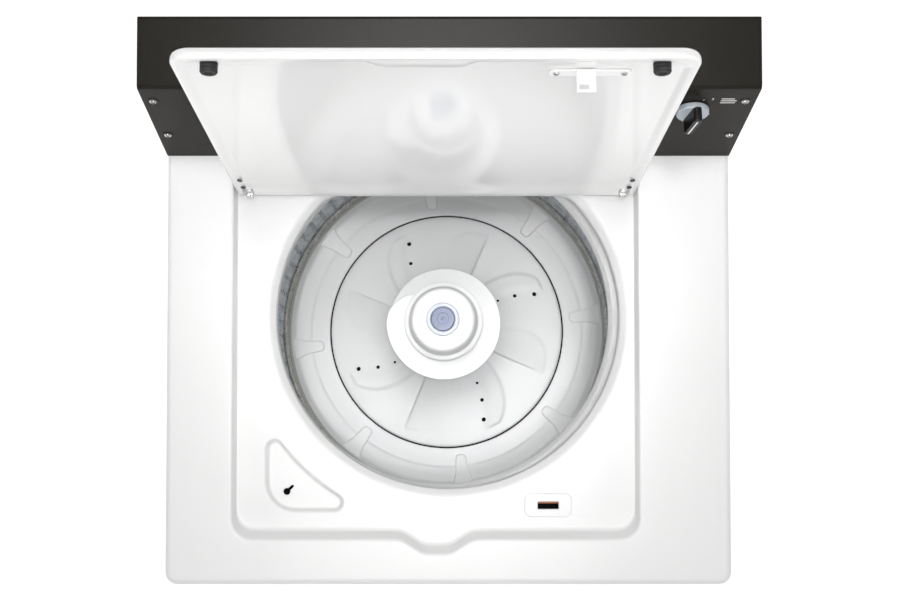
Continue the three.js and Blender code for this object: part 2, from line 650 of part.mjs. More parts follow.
// The pump's body: a chamber for the impeller, an inlet up to the sump and an outlet for the hose.
function drainPump() {
  const { x, y, radius, bottom, top } = PUMP;
  const body = join(
    drum(radius, top - 34, top - 4, { x, y, sides: 32 }),
    drum(radius - 12, bottom, top - 33, { x, y, sides: 24 }),
    drum(12, top - 5, TUB.bottom + 4, { x, y }),
    barX(11, x, x + radius + 34, y, top - 18),
  );
  const chamber = drum(radius - 5, top - 29, top - 9, { x, y, sides: 32 });
  const inlet = drum(9, top - 12, TUB.bottom + 5, { x, y });
  const outlet = barX(8, x + 20, x + radius + 35, y, top - 18);
  return cut(body, chamber, inlet, outlet);
}

function pumpImpeller() {
  const { radius, top } = PUMP;
  const blades = [0, 1, 2].map((i) => {
    const bar = new THREE.BoxGeometry(2 * (radius - 14), 3, 10).rotateZ((i * Math.PI) / 3);
    return solid(bar.translate(0, 0, top - 19));
  });
  const hub = drum(8, top - 26, top - 14, { sides: 16 });
  return join(hub, drum(radius - 13, top - 26, top - 23, { sides: 24 }), ...blades);
}

// The drain hose, whole: from the pump's outlet, along the side, and up over the elbow's spigot at the back.
function drainHose() {
  const { x, y, radius, top } = PUMP;
  const route = new THREE.CatmullRomCurve3([
    new THREE.Vector3(x + radius + 18, y, top - 18),
    new THREE.Vector3(x + radius + 52, y, top - 18),
    new THREE.Vector3(288, y + 36, top - 22),
    new THREE.Vector3(300, 0, top - 30),
    new THREE.Vector3(276, 90, top - 34),
    new THREE.Vector3(196, 178, top - 36),
    new THREE.Vector3(60, 268, top - 34),
    new THREE.Vector3(-90, 292, 456),
    new THREE.Vector3(-206, 300, 530),
    new THREE.Vector3(DRAIN.x + 4, 300, 640),
    new THREE.Vector3(DRAIN.x + 4.2, 300, 700),
    new THREE.Vector3(DRAIN.x + 4.4, 300, 745),
  ], false, "centripetal");
  return tube(route, 17, 30, 14);
}

function driveShaft() {
  return join(drum(SHAFT_R, 384, 690, { sides: 24 }), drum(6, 689, 706, { sides: 16 }));
}

// ---------- agitator ----------
// The lower part: a low dish with four curved fins and rows of drain holes, and the barrel under the auger.
function agitatorBase() {
  const dish = turned([[24, 539], [170, 541], [AGITATOR_R, 545], [AGITATOR_R, 549], [172, 552], [120, 556],
    [70, 572], [46, 620], [42, 686], [24, 686]], MEDIUM);
  const bore = drum(SHAFT_R + 1, 530, 700, { sides: 24 });
  const core = drum(26, 545, 686, { sides: 24 });
  const holes = [];
  for (let quarter = 0; quarter < 4; quarter++) {
    for (const [reach, angle, size] of [[145, 113, 3.2], [117, 117.5, 2.7], [91, 120.8, 2]]) {
      const turn = THREE.MathUtils.degToRad(angle + 90 * quarter);
      const at = { x: reach * Math.cos(turn), y: reach * Math.sin(turn), sides: 6 };
      holes.push(drum(size, 530, 600, at));
    }
  }
  const under = turned([[26.5, 530], [165, 530], [165, 544.5], [118, 548], [66, 562], [42, 618], [38, 680],
    [26.5, 680]], MEDIUM);
  const fins = [0, 1, 2, 3].map(agitatorFin);
  return cut(join(cut(join(dish, ...fins), under), core), bore, ...holes);
}

// One fin: a curved blade that rises from the dish towards the barrel.
function agitatorFin(quarter) {
  const blade = [[30, -9], [75, -13], [110, -11], [140, -2], [160, 8], [158, 12], [132, 4], [95, -1],
    [30, 9]];
  const upright = raised(blade, 110);
  const turn = THREE.MathUtils.degToRad(58 + 90 * quarter);
  const envelope = turned(
    [[0, 545], [163, 545], [158, 556], [110, 580], [80, 600], [60, 640], [40, 660], [0, 660]],
    16);
  return solid(upright.rotateZ(turn).translate(0, 0, 546)).intersect(envelope);
}

// The upper part: a sleeve with one helical flight, which turns one way on the barrel.
function auger() {
  const sleeve = turned([[44, 690], [52, 690], [49, 700], [49, 782], [50.7, 785], [50.7, 789], [46, 792],
    [43, 822], [36, 829], [22, 831], [22, 827], [34, 825], [42, 812], [44, 780]], MEDIUM);
  return join(sleeve, augerFlight());
}

// A helicoid of even thickness that winds down from a tapered start, built from four-cornered sections.
function augerFlight() {
  const steps = 30;
  const turns = 1.35;
  const taper = 0.11;
  const [start, low, high] = [THREE.MathUtils.degToRad(131), 693, 779];
  const vertices = [];
  for (let i = 0; i <= steps; i++) {
    const share = i / steps;
    const angle = start + 2 * Math.PI * turns * share;
    const z = high + (low - high) * share;
    const fade = Math.sin((Math.PI / 2) * Math.min(1, share / taper, (1 - share) / taper));
    const reach = 50 + (AUGER_R - 50) * fade;
    for (const [r, dz] of [[46, 0], [reach, 1], [reach, 4], [46, 6]]) {
      vertices.push(r * Math.cos(angle), r * Math.sin(angle), z + dz);
    }
  }
  const triangles = [0, 1, 2, 0, 2, 3];
  for (let i = 0; i < steps; i++) {
    for (let side = 0; side < 4; side++) {
      const [a, b] = [4 * i + side, 4 * i + ((side + 1) % 4)];
      triangles.push(a, a + 4, b, b, a + 4, b + 4);
    }
  }
  const last = 4 * steps;
  triangles.push(last, last + 2, last + 1, last, last + 3, last + 2);
  const geometry = new THREE.BufferGeometry();
  geometry.setAttribute("position", new THREE.Float32BufferAttribute(vertices, 3));
  geometry.setIndex(triangles);
  return solid(geometry);
}

function agitatorCap() {
  return turned([[0, 826], [21.4, 826], [21.4, 832], [20, 835], [16.5, 835], [15.6, 838], [0, 838]], 32);
}

// ---------- hanging rods ----------
function suspensionRod() {
  const ball = new THREE.SphereGeometry(11, 8, 5).rotateX(Math.PI / 2).translate(0, 0, ROD.top + 11.4);
  return join(
    solid(ball),
    drum(ROD.radius, ROD.bottom, ROD.top + 8, { sides: 8 }),
    drum(ROD.cap, ROD.bottom - 8, ROD.bottom, { sides: 14 }),
  );
}

// The spring's sleeve, from the rod's cap to the tub's ear.
function suspensionSpring(earZ) {
  const sleeve = drum(ROD.cap - 3, ROD.bottom + GAP, earZ - GAP, { sides: 16 });
  return cut(sleeve, drum(ROD.radius + 5, ROD.bottom, earZ, { sides: 16 }));
}

// ---------- water and drain fittings ----------
function waterValve() {
  const body = block([INLETS[0] - 18, 262, INLET_Z - 16], [INLETS[1] + 18, 309, INLET_Z + 16]);
  const inlets = INLETS.map((x) => barY(13.2, 308, FITTING_Y, x, INLET_Z, 24));
  const bores = INLETS.map((x) => barY(9, 290, FITTING_Y + 1, x, INLET_Z, 16));
  const middle = (INLETS[0] + INLETS[1]) / 2;
  const outlet = barY(8, 250, 263, middle, INLET_Z);
  return cut(join(body, ...inlets, outlet), ...bores, barY(5.5, 249, 300, middle, INLET_Z));
}

// The nozzle hangs under the well's floor and pours over the basket's edge.
function fillNozzle() {
  const [x0, x1, y0, y1, z0, z1] = [88, 142, 146, 206, 869, WELL.floor - 2 - 2 * GAP];
  const shell = block([x0, y0, z0], [x1, y1, z1]);
  const hollow = block([x0 + 2, y0 + 2, z0 + 2], [x1 - 2, y1 - 2, z1 - 2]);
  const mouth = block([x0 + 6, y0 + 4, z0 - 1], [x1 - 6, y0 + 22, z0 + 4]);
  const spigot = barY(6, y1 - 1, y1 + 14, 115, (z0 + z1) / 2 + 0.3, 16);
  const bore = barY(4, y1 - 5, y1 + 15, 115, (z0 + z1) / 2 + 0.3, 16);
  return cut(join(cut(shell, hollow, mouth), spigot), bore);
}

function fillHose() {
  const route = new THREE.CatmullRomCurve3([
    new THREE.Vector3(180, 257, INLET_Z),
    new THREE.Vector3(180, 244, INLET_Z),
    new THREE.Vector3(172, 228, INLET_Z + 3),
    new THREE.Vector3(148, 224, INLET_Z + 14),
    new THREE.Vector3(126, 238, 874),
    new THREE.Vector3(115, 228, 876.5),
    new THREE.Vector3(115, 209, 876.5),
  ], false, "centripetal");
  return tube(route, 11.5, 20, 9.8);
}

// The drain elbow: out through the back, and down inside the hose.
function drainOutlet() {
  const { x, z, radius, bore } = DRAIN;
  const innerY = 290;
  const out = barY(radius, innerY, FITTING_Y, x, z, 16);
  const collar = barY(radius + 4, BACK_Y + GAP, BACK_Y + 5, x, z, 16);
  const down = drum(bore, z - 70, z, { x, y: innerY, sides: 16 });
  const elbow = solid(new THREE.SphereGeometry(radius, 12, 8).translate(x, innerY, z));
  const drop = drum(bore - 3, z - 71, z, { x, y: innerY, sides: 16 });
  const bores = [barY(bore, innerY, FITTING_Y + 1, x, z, 16), drop];
  return cut(join(out, collar, down, elbow), ...bores);
}

// The bushing that the mains lead would leave through.
function cordGland() {
  const { x, z, radius } = GLAND;
  const body = join(
    barY(radius, BACK_Y + GAP, BACK_Y + 6, x, z, 16),
    barY(radius - 3, BACK_Y - 8, BACK_Y + 1, x, z, 16),
  );
  return cut(body, barY(5, BACK_Y - 9, BACK_Y + 7, x, z, 16));
}

// ---------- assembly ----------
const washer = new THREE.Group();

function addCabinet() {
  add(washer, "cabinet_shell", cabinetShell(), WHITE_PAINT);
  add(washer, "rear_panel", rearPanel(), ZINC);
  add(washer, "base_brace_front", baseBrace(FEET[0][1]), ZINC);
  add(washer, "base_brace_rear", baseBrace(FEET[2][1]), ZINC);
  add(washer, "top_panel", topPanel(), WHITE_PAINT);
  add(washer, "bleach_chute", bleachChute(), WHITE_PLASTIC);
  add(washer, "lid_lock_bezel", lockBezel(), WHITE_PLASTIC);
  add(washer, "lid_lock_housing", lockHousing(), DARK_PLASTIC);
  add(washer, "lock_bolt", lockBolt(), STEEL);
  FEET.forEach(([x, y], i) => add(washer, `foot_${i + 1}`, foot(), RUBBER).position.set(x, y, 0));
}

function addFittings() {
  add(washer, "water_valve", waterValve(), GREY_PLASTIC);
  add(washer, "fill_nozzle", fillNozzle(), WHITE_PLASTIC);
  add(washer, "fill_hose", fillHose(), RUBBER);
  add(washer, "drain_outlet", drainOutlet(), DARK_PLASTIC);
  add(washer, "cord_gland", cordGland(), DARK_PLASTIC);
}

function addConsole() {
  add(washer, "console_panel", consolePanel(), GRAPHITE);
  add(washer, "console_end_left", consoleEnd(-1), DARK_PLASTIC);
  add(washer, "console_end_right", consoleEnd(1), DARK_PLASTIC);
  add(washer, "console_back", consoleBack(), ZINC);
  const face = new THREE.Group();
  const [y, z] = onSlope(CONTROL_RISE);
  face.position.set(0, y, z);
  face.rotation.x = SLOPE;
  washer.add(face);
  for (const { name, x, radius, turn } of CONTROLS) {
    const control = add(face, name, knob(radius), DARK_PLASTIC);
    control.position.x = x;
    control.rotation.z = THREE.MathUtils.degToRad(turn);
  }
  add(face, "start_button", startButton(), GREY_PLASTIC).position.x = BUTTON.x;
  add(face, "control_board", controlBoard(), BOARD).position.set(-60, -20, -24);
}

function addLid() {
  const lid = new THREE.Group();
  lid.position.set(LID_X, HINGE_Y, HINGE_Z);
  lid.rotation.x = -LID_OPEN;
  washer.add(lid);
  add(lid, "lid_panel", lidPanel(), WHITE_PAINT);
  add(lid, "hinge_left", hinge(-1), ZINC);
  add(lid, "hinge_right", hinge(1), ZINC);
  add(lid, "lid_strike", lidStrike(), STEEL);
  add(lid, "lid_bumper_left", lidBumper(), RUBBER).position.set(-BUMPER.x, BUMPER.y, 0);
  add(lid, "lid_bumper_right", lidBumper(), RUBBER).position.set(BUMPER.x, BUMPER.y, 0);
}

function addTub() {
  // The outer group leans about a point at the basket's floor; the inner one brings the axis back.
  const lean = new THREE.Group();
  lean.position.set(OPENING.x, OPENING.y, FLOOR_Z);
  lean.rotation.y = -TUB_LEAN;
  washer.add(lean);
  const tub = new THREE.Group();
  tub.position.z = -FLOOR_Z;
  lean.add(tub);
  add(tub, "outer_tub", outerTub(), WHITE_PLASTIC);
  add(tub, "tub_ring", tubRing(), WHITE_PLASTIC);
  add(tub, "gearcase", gearcase(), ALUMINIUM);
  add(tub, "drive_motor", driveMotor(), DARK_PLASTIC);
  add(tub, "drain_pump", drainPump(), GREY_PLASTIC);
  add(tub, "drive_belt", driveBelt(), RUBBER);
  add(tub, "drain_hose", drainHose(), RUBBER);
  add(tub, "basket_wall", basketWall(), STEEL);
  add(tub, "basket_base", basketBase(), WHITE_PLASTIC);
  add(tub, "balance_ring", balanceRing(), WHITE_PLASTIC);
  add(tub, "basket_hub", basketHub(), ALUMINIUM);
  add(tub, "agitator_base", agitatorBase(), WHITE_PLASTIC);
  add(tub, "drive_shaft", driveShaft(), STEEL);
  add(tub, "auger", auger(), WHITE_PLASTIC);
  add(tub, "agitator_cap", agitatorCap(), CAP_BLUE);
  add(tub, "drive_pulley", drivePulley(), ALUMINIUM);
  add(tub, "motor_pulley", motorPulley(), STEEL).position.set(MOTOR.x, MOTOR.y, 0);
  add(tub, "pump_impeller", pumpImpeller(), DARK_PLASTIC).position.set(PUMP.x, PUMP.y, 0);
}

function addSuspension() {
  let number = 0;
  for (const side of [-1, 1]) {
    for (const end of [-1, 1]) {
      number += 1;
      const [x, y] = [side * ROD.x, OPENING.y + end * ROD.y];
      const lift = side * (ROD.x - ROD.cap) * Math.sin(TUB_LEAN);
      const earZ = EAR.bottom + lift - (side < 0 ? 1 : 0);
      add(washer, `suspension_rod_${number}`, suspensionRod(), ZINC).position.set(x, y, 0);
      add(washer, `suspension_spring_${number}`, suspensionSpring(earZ), STEEL).position.set(x, y, 0);
    }
  }
}

addCabinet();
addFittings();
addConsole();
addLid();
addTub();
addSuspension();

export default washer;
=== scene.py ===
"""Looks for a top load washing machine with its lid open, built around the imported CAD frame.

Lengths in this script are millimetres, and MM turns them into the frame's metres.
"""
import json
import math

import bmesh
import bpy
from mathutils import Matrix, Vector
from mathutils.geometry import tessellate_polygon


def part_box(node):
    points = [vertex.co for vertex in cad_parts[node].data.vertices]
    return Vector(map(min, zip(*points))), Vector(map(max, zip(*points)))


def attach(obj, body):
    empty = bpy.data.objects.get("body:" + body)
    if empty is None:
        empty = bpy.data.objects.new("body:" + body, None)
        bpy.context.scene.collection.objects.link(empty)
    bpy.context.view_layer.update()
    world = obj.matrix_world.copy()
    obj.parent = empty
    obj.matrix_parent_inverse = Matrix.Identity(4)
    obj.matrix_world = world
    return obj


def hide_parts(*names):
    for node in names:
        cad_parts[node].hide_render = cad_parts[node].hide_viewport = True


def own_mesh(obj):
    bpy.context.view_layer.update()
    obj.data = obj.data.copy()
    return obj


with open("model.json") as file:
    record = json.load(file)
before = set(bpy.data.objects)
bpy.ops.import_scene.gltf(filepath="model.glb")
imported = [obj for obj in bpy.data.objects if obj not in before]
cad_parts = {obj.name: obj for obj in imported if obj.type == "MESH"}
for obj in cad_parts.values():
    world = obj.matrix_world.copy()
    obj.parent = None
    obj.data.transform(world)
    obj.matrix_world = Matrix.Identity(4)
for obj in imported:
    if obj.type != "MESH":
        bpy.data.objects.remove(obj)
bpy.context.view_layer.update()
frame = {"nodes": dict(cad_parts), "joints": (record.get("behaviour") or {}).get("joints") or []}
MM = 0.001
JOINTS = {joint["name"]: joint for joint in frame["joints"]}


def low(node):
    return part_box(node)[0] / MM


def high(node):
    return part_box(node)[1] / MM


def middle(node):
    return (low(node) + high(node)) / 2


# ---------- places in the frame ----------
def axis_frame(name):
    """The frame on a joint's axis: Z along it, and X as near to the machine's X as it can be."""
    axis = Vector(JOINTS[name]["axis"]).normalized()
    across = Vector((1, 0, 0))
    across = (across - axis * axis.dot(across)).normalized()
    turn = Matrix((across, axis.cross(across), axis)).transposed().to_4x4()
    return Matrix.Translation(Vector(JOINTS[name]["pos_m"]) / MM) @ turn


def at(x, y, z):
    return Matrix.Translation((x, y, z))


def rotated(degrees, axis="Z"):
    return Matrix.Rotation(math.radians(degrees), 4, axis)


FLOOR_Z = JOINTS["basket_spin"]["pos_m"][2] / MM
TUB = axis_frame("basket_spin") @ at(0, 0, -FLOOR_Z)
HINGE = Matrix.Translation(Vector(JOINTS["lid_hinge"]["pos_m"]) / MM)
LID = HINGE @ rotated(-JOINTS["lid_hinge"]["range_deg"][1], "X")

# The machine's own outline, from the frame.
LEFT, FRONT = low("top_panel").x, low("top_panel").y
RIGHT, BACK = high("top_panel").x, high("top_panel").y
DECK_Z = high("top_panel").z
SEAM_Z = DECK_Z - 30
BASE_Z = low("cabinet_shell").z
FOLD_Z = high("console_panel").z
SIDES = (-1, "left"), (1, "right")

# The deck's stampings.
WELL_LEFT, WELL_RIGHT, WELL_FRONT, WELL_BACK, WELL_Z = -267, 236, -287, 168, 886
NOTCH_X, NOTCH_MOUTH, NOTCH_END, NOTCH_DEPTH = -14, 44.5, 16.5, 18
OPENING_Y, OPENING_R, OPENING_BACK, OPENING_FILLET = -10, 217, 145, 32
LIP_DEPTH, DECK_SHEET = 18, 0.7
BLEACH_LEFT, BLEACH_FRONT, BLEACH_ARC, BLEACH_END, BLEACH_CORNER, BLEACH_Z = -228, -254, 264.5, 10, 36, 876
DROP_X, DROP_Y, DROP_R = -203.6, -231, 4.6
LOCK_X, LOCK_Y, PAD_X, PAD_Y, SLOT_X, SLOT_Y = 125.4, -247.5, 30, 15, 13.25, 4.8

# The lid, in its own frame: the pins are along X, it reaches along -Y, and its painted top faces +Z.
LID_HALF, LID_FRONT, LID_BACK, LID_TOP, LID_CROWN, LID_RIM, LID_FIELD = 249, -432, 10, 3.0, 6.5, -9, -6
GRIP_DEPTH, BUMPER_X, BUMPER_Y, BUMPER_END = 13, 212.5, -412, -16.4

# The basket and agitator, in the tub's frame.
WALL_R, WALL_TOP, DISH_R, FLIGHT_R = 240, 836, 175, 77.6


# ---------- outlines ----------
def rounded(corners, steps=8, closed=True, sides=1):
    """An outline through (x, y, radius) corners, each rounded by an arc, with extra points on the sides."""
    runs = []
    for i, (x, y, radius) in enumerate(corners):
        here = Vector((x, y))
        if radius <= 0 or (not closed and i in (0, len(corners) - 1)):
            runs.append([here])
            continue
        before = (Vector(corners[i - 1][:2]) - here).normalized()
        after = (Vector(corners[(i + 1) % len(corners)][:2]) - here).normalized()
        half = before.angle(after) / 2
        centre = here + (before + after).normalized() * radius / math.sin(half)
        first = here + before * radius / math.tan(half) - centre
        last = here + after * radius / math.tan(half) - centre
        sweep = math.atan2(first.x * last.y - first.y * last.x, first.dot(last))
        turns = [Matrix.Rotation(sweep * k / steps, 2) for k in range(steps + 1)]
        runs.append([centre + turn @ first for turn in turns])
    points = []
    for i, run in enumerate(runs):
        points += run
        if closed or i < len(runs) - 1:
            following = runs[(i + 1) % len(runs)][0]
            points += [run[-1].lerp(following, k / sides) for k in range(1, sides)]
    return [tuple(point) for point in points]


def box_outline(x0, y0, x1, y1, front, back=None, inset=0.0, steps=8, sides=1):
    """A rectangle with rounded corners, drawn in by an inset."""
    front = max(front - inset, 0.3)
    rear = front if back is None else max(back - inset, 0.3)
    x0, y0, x1, y1 = x0 + inset, y0 + inset, x1 - inset, y1 - inset
    return rounded([(x0, y0, front), (x1, y0, front), (x1, y1, rear), (x0, y1, rear)], steps, sides=sides)


def lifted(outline, z):
    return [(x, y, z) for x, y in outline]


def polar(radius, turn):
    return radius * math.cos(turn), radius * math.sin(turn)


def turns_of(sides):
    return [2 * math.pi * k / sides for k in range(sides)]


def circle(x, y, radius, sides=24):
    return [(x + dx, y + dy) for dx, dy in (polar(radius, turn) for turn in turns_of(sides))]


def bend(x, y, radius, start, end, steps):
    """An arc around (x, y), from one angle to another."""
    turns = [start + (end - start) * k / steps for k in range(steps + 1)]
    return [(x + dx, y + dy) for dx, dy in (polar(radius, turn) for turn in turns)]


def well_outline(inset):
    """The well's outline. An inset moves the front wall by all of it, and the steeper walls by a part."""
    side = inset if inset < 0 else inset * 0.12
    x0, x1, y0, y1 = WELL_LEFT + side, WELL_RIGHT - side, WELL_FRONT + inset, WELL_BACK - side
    corners = [(x0, y0, 25)]
    corners += [(NOTCH_X - NOTCH_MOUTH, y0, 26), (NOTCH_X - NOTCH_END, y0 - NOTCH_DEPTH, 26)]
    corners += [(NOTCH_X + NOTCH_END, y0 - NOTCH_DEPTH, 26), (NOTCH_X + NOTCH_MOUTH, y0, 26)]
    corners += [(x1, y0, 25), (x1, y1, 12), (x0, y1, 12)]
    return rounded(corners, 10)


def opening_outline(margin):
    radius, fillet = OPENING_R + margin, OPENING_FILLET + margin
    rise = OPENING_BACK + margin - fillet - OPENING_Y
    reach = math.sqrt((radius - fillet) ** 2 - rise**2)
    turn = math.atan2(rise, reach)
    outline = bend(0, OPENING_Y, radius, math.pi - turn, 2 * math.pi + turn, 120)
    outline += bend(reach, OPENING_Y + rise, fillet, turn, math.pi / 2, 12)[1:]
    return outline + bend(-reach, OPENING_Y + rise, fillet, math.pi / 2, math.pi - turn, 12)[:-1]


def bleach_outline(margin):
    """Two straight sides, and one that follows the opening."""
    end = BLEACH_END + margin
    reach = BLEACH_ARC + BLEACH_END
    right_y, top_x = BLEACH_FRONT + BLEACH_END, BLEACH_LEFT + BLEACH_END
    right_x = -math.sqrt(reach**2 - (right_y - OPENING_Y) ** 2)
    top_y = OPENING_Y - math.sqrt(reach**2 - top_x**2)
    right_turn = math.atan2(right_y - OPENING_Y, right_x)
    top_turn = math.atan2(top_y - OPENING_Y, top_x)
    corner = BLEACH_CORNER
    outline = bend(BLEACH_LEFT + corner, BLEACH_FRONT + corner, corner + margin, -math.pi, -math.pi / 2, 14)
    outline += bend(right_x, right_y, end, -math.pi / 2, right_turn + math.pi, 10)
    outline += bend(0, OPENING_Y, BLEACH_ARC - margin, right_turn, top_turn, 24)[1:-1]
    return outline + bend(top_x, top_y, end, top_turn + math.pi, math.pi, 10)


# ---------- meshes ----------
class Form:
    """Points and faces in the making."""

    def __init__(self):
        self.points, self.faces = [], []

    def loft(self, rings, closed=True, start=False, end=False):
        """Faces between rings of equally many points, with a cap on either end where asked."""
        base, count = len(self.points), len(rings[0])
        for ring in rings:
            self.points += [tuple(point) for point in ring]
        for i in range(len(rings) - 1):
            for j in range(count if closed else count - 1):
                a, b = base + i * count + j, base + i * count + (j + 1) % count
                self.faces.append((a, b, b + count, a + count))
        if start:
            self.faces.append(tuple(range(base + count - 1, base - 1, -1)))
        if end:
            self.faces.append(tuple(range(base + (len(rings) - 1) * count, base + len(rings) * count)))
        return self

    def fill(self, z, outer, *holes):
        """A flat face at z with holes."""
        loops = [[Vector((x, y, 0)) for x, y in loop] for loop in (outer, *holes)]
        base = len(self.points)
        self.points += [(point.x, point.y, z) for loop in loops for point in loop]
        self.faces += [tuple(base + i for i in corner) for corner in tessellate_polygon(loops)]
        return self

    def merge(self, other, at=Matrix()):
        base = len(self.points)
        self.points += [tuple(at @ Vector(point)) for point in other.points]
        self.faces += [tuple(base + i for i in face) for face in other.faces]
        return self

    def wall(self, outline_at, profile, **caps):
        """A stamped wall: outline_at(offset) gives the outline, and profile holds (offset, z) steps."""
        return self.loft([lifted(outline_at(offset), z) for offset, z in profile], **caps)


def lathe(profile, sides=96, closed=True):
    """A profile of (radius, z) turned about Z, and joined to itself where it is closed."""
    rings = [[(*polar(max(r, 0.001), turn), z) for turn in turns_of(sides)] for r, z in profile]
    return Form().loft(rings + [rings[0]] if closed else rings)


def turned(corners, sides=96, steps=4):
    """A lathe over a closed profile whose (radius, z, rounding) corners are softened."""
    return lathe(rounded(corners, steps), sides)


def tube(points, radius, sides=16):
    """A round tube along points, with flat ends."""
    points = [Vector(point) for point in points]
    rings, up = [], Vector((0.2, 0.3, 0.9)).normalized()
    for i, here in enumerate(points):
        along = (points[min(i + 1, len(points) - 1)] - points[max(i - 1, 0)]).normalized()
        across = along.cross(up).normalized()
        up = across.cross(along).normalized()
        rings.append([here + (across * math.cos(a) + up * math.sin(a)) * radius for a in turns_of(sides)])
    return Form().loft(rings, start=True, end=True)


def block(x0, x1, y0, y1, z0, z1, radius=1.0, edge=0.6):
    """A box with rounded upright edges and softened top and bottom rims."""
    outline_at = lambda inset: box_outline(x0, y0, x1, y1, radius, inset=inset, steps=4)
    profile = [(edge, z0), (edge * 0.3, z0 + edge * 0.3), (0, z0 + edge)]
    profile += [(0, z1 - edge), (edge * 0.3, z1 - edge * 0.3), (edge, z1)]
    return Form().wall(outline_at, profile, start=True, end=True)


def placed(name, data):
    """A new object in the scene."""
    made = bpy.data.objects.new(name, data)
    bpy.context.scene.collection.objects.link(made)
    return made


def mesh_of(name, form, at=Matrix()):
    """A mesh in metres from a form in millimetres."""
    mesh = bpy.data.meshes.new(name)
    mesh.from_pydata([(at @ Vector(point)) * MM for point in form.points], [], form.faces)
    return mesh


def soften(made, reach=30):
    """Small bevels on the edges that turn by more than an angle."""
    edge = made.modifiers.new("soft edges", "BEVEL")
    edge.width, edge.segments, edge.limit_method = 0.5 * MM, 2, "ANGLE"
    edge.angle_limit = math.radians(reach)


def piece(name, form, material, body, replaced=(), at=Matrix(), angle=32, weighted=True):
    """Makes the object for a form, welds it, smooths it by angle and hands it to its body."""
    mesh = mesh_of(name, form, at)
    work = bmesh.new()
    work.from_mesh(mesh)
    bmesh.ops.remove_doubles(work, verts=work.verts, dist=0.01 * MM)
    bmesh.ops.dissolve_degenerate(work, edges=work.edges, dist=0.005 * MM)
    bmesh.ops.recalc_face_normals(work, faces=work.faces)
    work.to_mesh(mesh)
    work.free()
    mesh.shade_smooth()
    mesh.set_sharp_from_angle(angle=math.radians(angle))
    mesh.materials.append(material)
    made = placed(name, mesh)
    if weighted:
        made.modifiers.new("even shading", "WEIGHTED_NORMAL").keep_sharp = True
    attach(made, body)
    if replaced:
        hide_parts(*replaced)
    return made


def thicken(made, depth):
    """Gives an open sheet its thickness, inwards."""
    sheet = made.modifiers.new("thickness", "SOLIDIFY")
    sheet.thickness = depth * MM
    sheet.offset = -1
    made.modifiers.move(len(made.modifiers) - 1, 0)
    return made


def carve(made, cutter_form):
    """Cuts a form out of a closed piece."""
    cutter = placed("cutter", mesh_of("cutter", cutter_form))
    cut = made.modifiers.new("cut", "BOOLEAN")
    cut.object, cut.operation, cut.solver = cutter, "DIFFERENCE", "EXACT"
    made.modifiers.move(len(made.modifiers) - 1, 0)
    graph = bpy.context.evaluated_depsgraph_get()
    hidden = [modifier for modifier in made.modifiers if modifier.name != "cut"]
    for modifier in hidden:
        modifier.show_viewport = False
    graph.update()
    result = bpy.data.meshes.new_from_object(made.evaluated_get(graph))
    for modifier in hidden:
        modifier.show_viewport = True
    made.modifiers.remove(cut)
    made.data = result
    bpy.data.objects.remove(cutter)
    return made


# ---------- materials ----------
def material_of(name):
    made = bpy.data.materials.new(name)
    made.use_nodes = True
    return made, made.node_tree, made.node_tree.nodes["Principled BSDF"]


def noise(tree, scale, detail=3.0, stretch=(1, 1, 1)):
    """A noise texture over the object's own place, stretched where asked."""
    place = tree.nodes.new("ShaderNodeTexCoord")
    mapping = tree.nodes.new("ShaderNodeMapping")
    mapping.inputs["Scale"].default_value = stretch
    texture = tree.nodes.new("ShaderNodeTexNoise")
    texture.inputs["Scale"].default_value = scale
    texture.inputs["Detail"].default_value = detail
    tree.links.new(place.outputs["Object"], mapping.inputs["Vector"])
    tree.links.new(mapping.outputs["Vector"], texture.inputs["Vector"])
    return texture.outputs["Fac"]


def between(tree, value, low_end, high_end, from_low=0.3, from_high=0.7):
    reach = tree.nodes.new("ShaderNodeMapRange")
    numbers = {"From Min": from_low, "From Max": from_high, "To Min": low_end, "To Max": high_end}
    for socket, number in numbers.items():
        reach.inputs[socket].default_value = number
    tree.links.new(value, reach.inputs["Value"])
    return reach.outputs["Result"]


def tinted(tree, value, dark, light):
    ramp = tree.nodes.new("ShaderNodeValToRGB")
    ramp.color_ramp.elements[0].color = (*dark, 1)
    ramp.color_ramp.elements[0].position = 0.3
    ramp.color_ramp.elements[1].color = (*light, 1)
    ramp.color_ramp.elements[1].position = 0.7
    tree.links.new(value, ramp.inputs["Fac"])
    return ramp.outputs["Color"]


def bumped(tree, shader, value, depth):
    """Raises the surface by up to a depth in millimetres."""
    bump = tree.nodes.new("ShaderNodeBump")
    bump.inputs["Distance"].default_value = depth * MM
    tree.links.new(value, bump.inputs["Height"])
    tree.links.new(bump.outputs["Normal"], shader.inputs["Normal"])


def surface(name, colour, rough, metal=0.0, mottle=0.03, broad=9.0, grain=700.0, depth=0.02, coat=0.0,
            stretch=(1, 1, 1), spread=0.12, inner=0.0, shine=0.5):
    """A finish with a slightly uneven colour and gloss, and a fine grain."""
    made, tree, shader = material_of(name)
    dark = [part * (1 - mottle) for part in colour]
    light = [min(part * (1 + mottle), 1) for part in colour]
    tree.links.new(tinted(tree, noise(tree, broad), dark, light), shader.inputs["Base Color"])
    fine = noise(tree, grain, 4.0, stretch)
    gloss = between(tree, fine, rough * (1 - spread), rough * (1 + spread))
    tree.links.new(gloss, shader.inputs["Roughness"])
    bumped(tree, shader, fine, depth)
    shader.inputs["Metallic"].default_value = metal
    shader.inputs["Specular IOR Level"].default_value = shine
    shader.inputs["Coat Weight"].default_value = coat
    shader.inputs["Coat Roughness"].default_value = 0.06
    if inner:
        shader.inputs["Subsurface Weight"].default_value = inner
        shader.inputs["Subsurface Radius"].default_value = (0.004, 0.004, 0.0035)
    return made


# A mix node has sockets for every kind of data: these are its factor, its two colours and its mixed colour.
COLOUR_MIX_INPUTS, COLOUR_MIX_OUTPUT = (0, 6, 7), 2


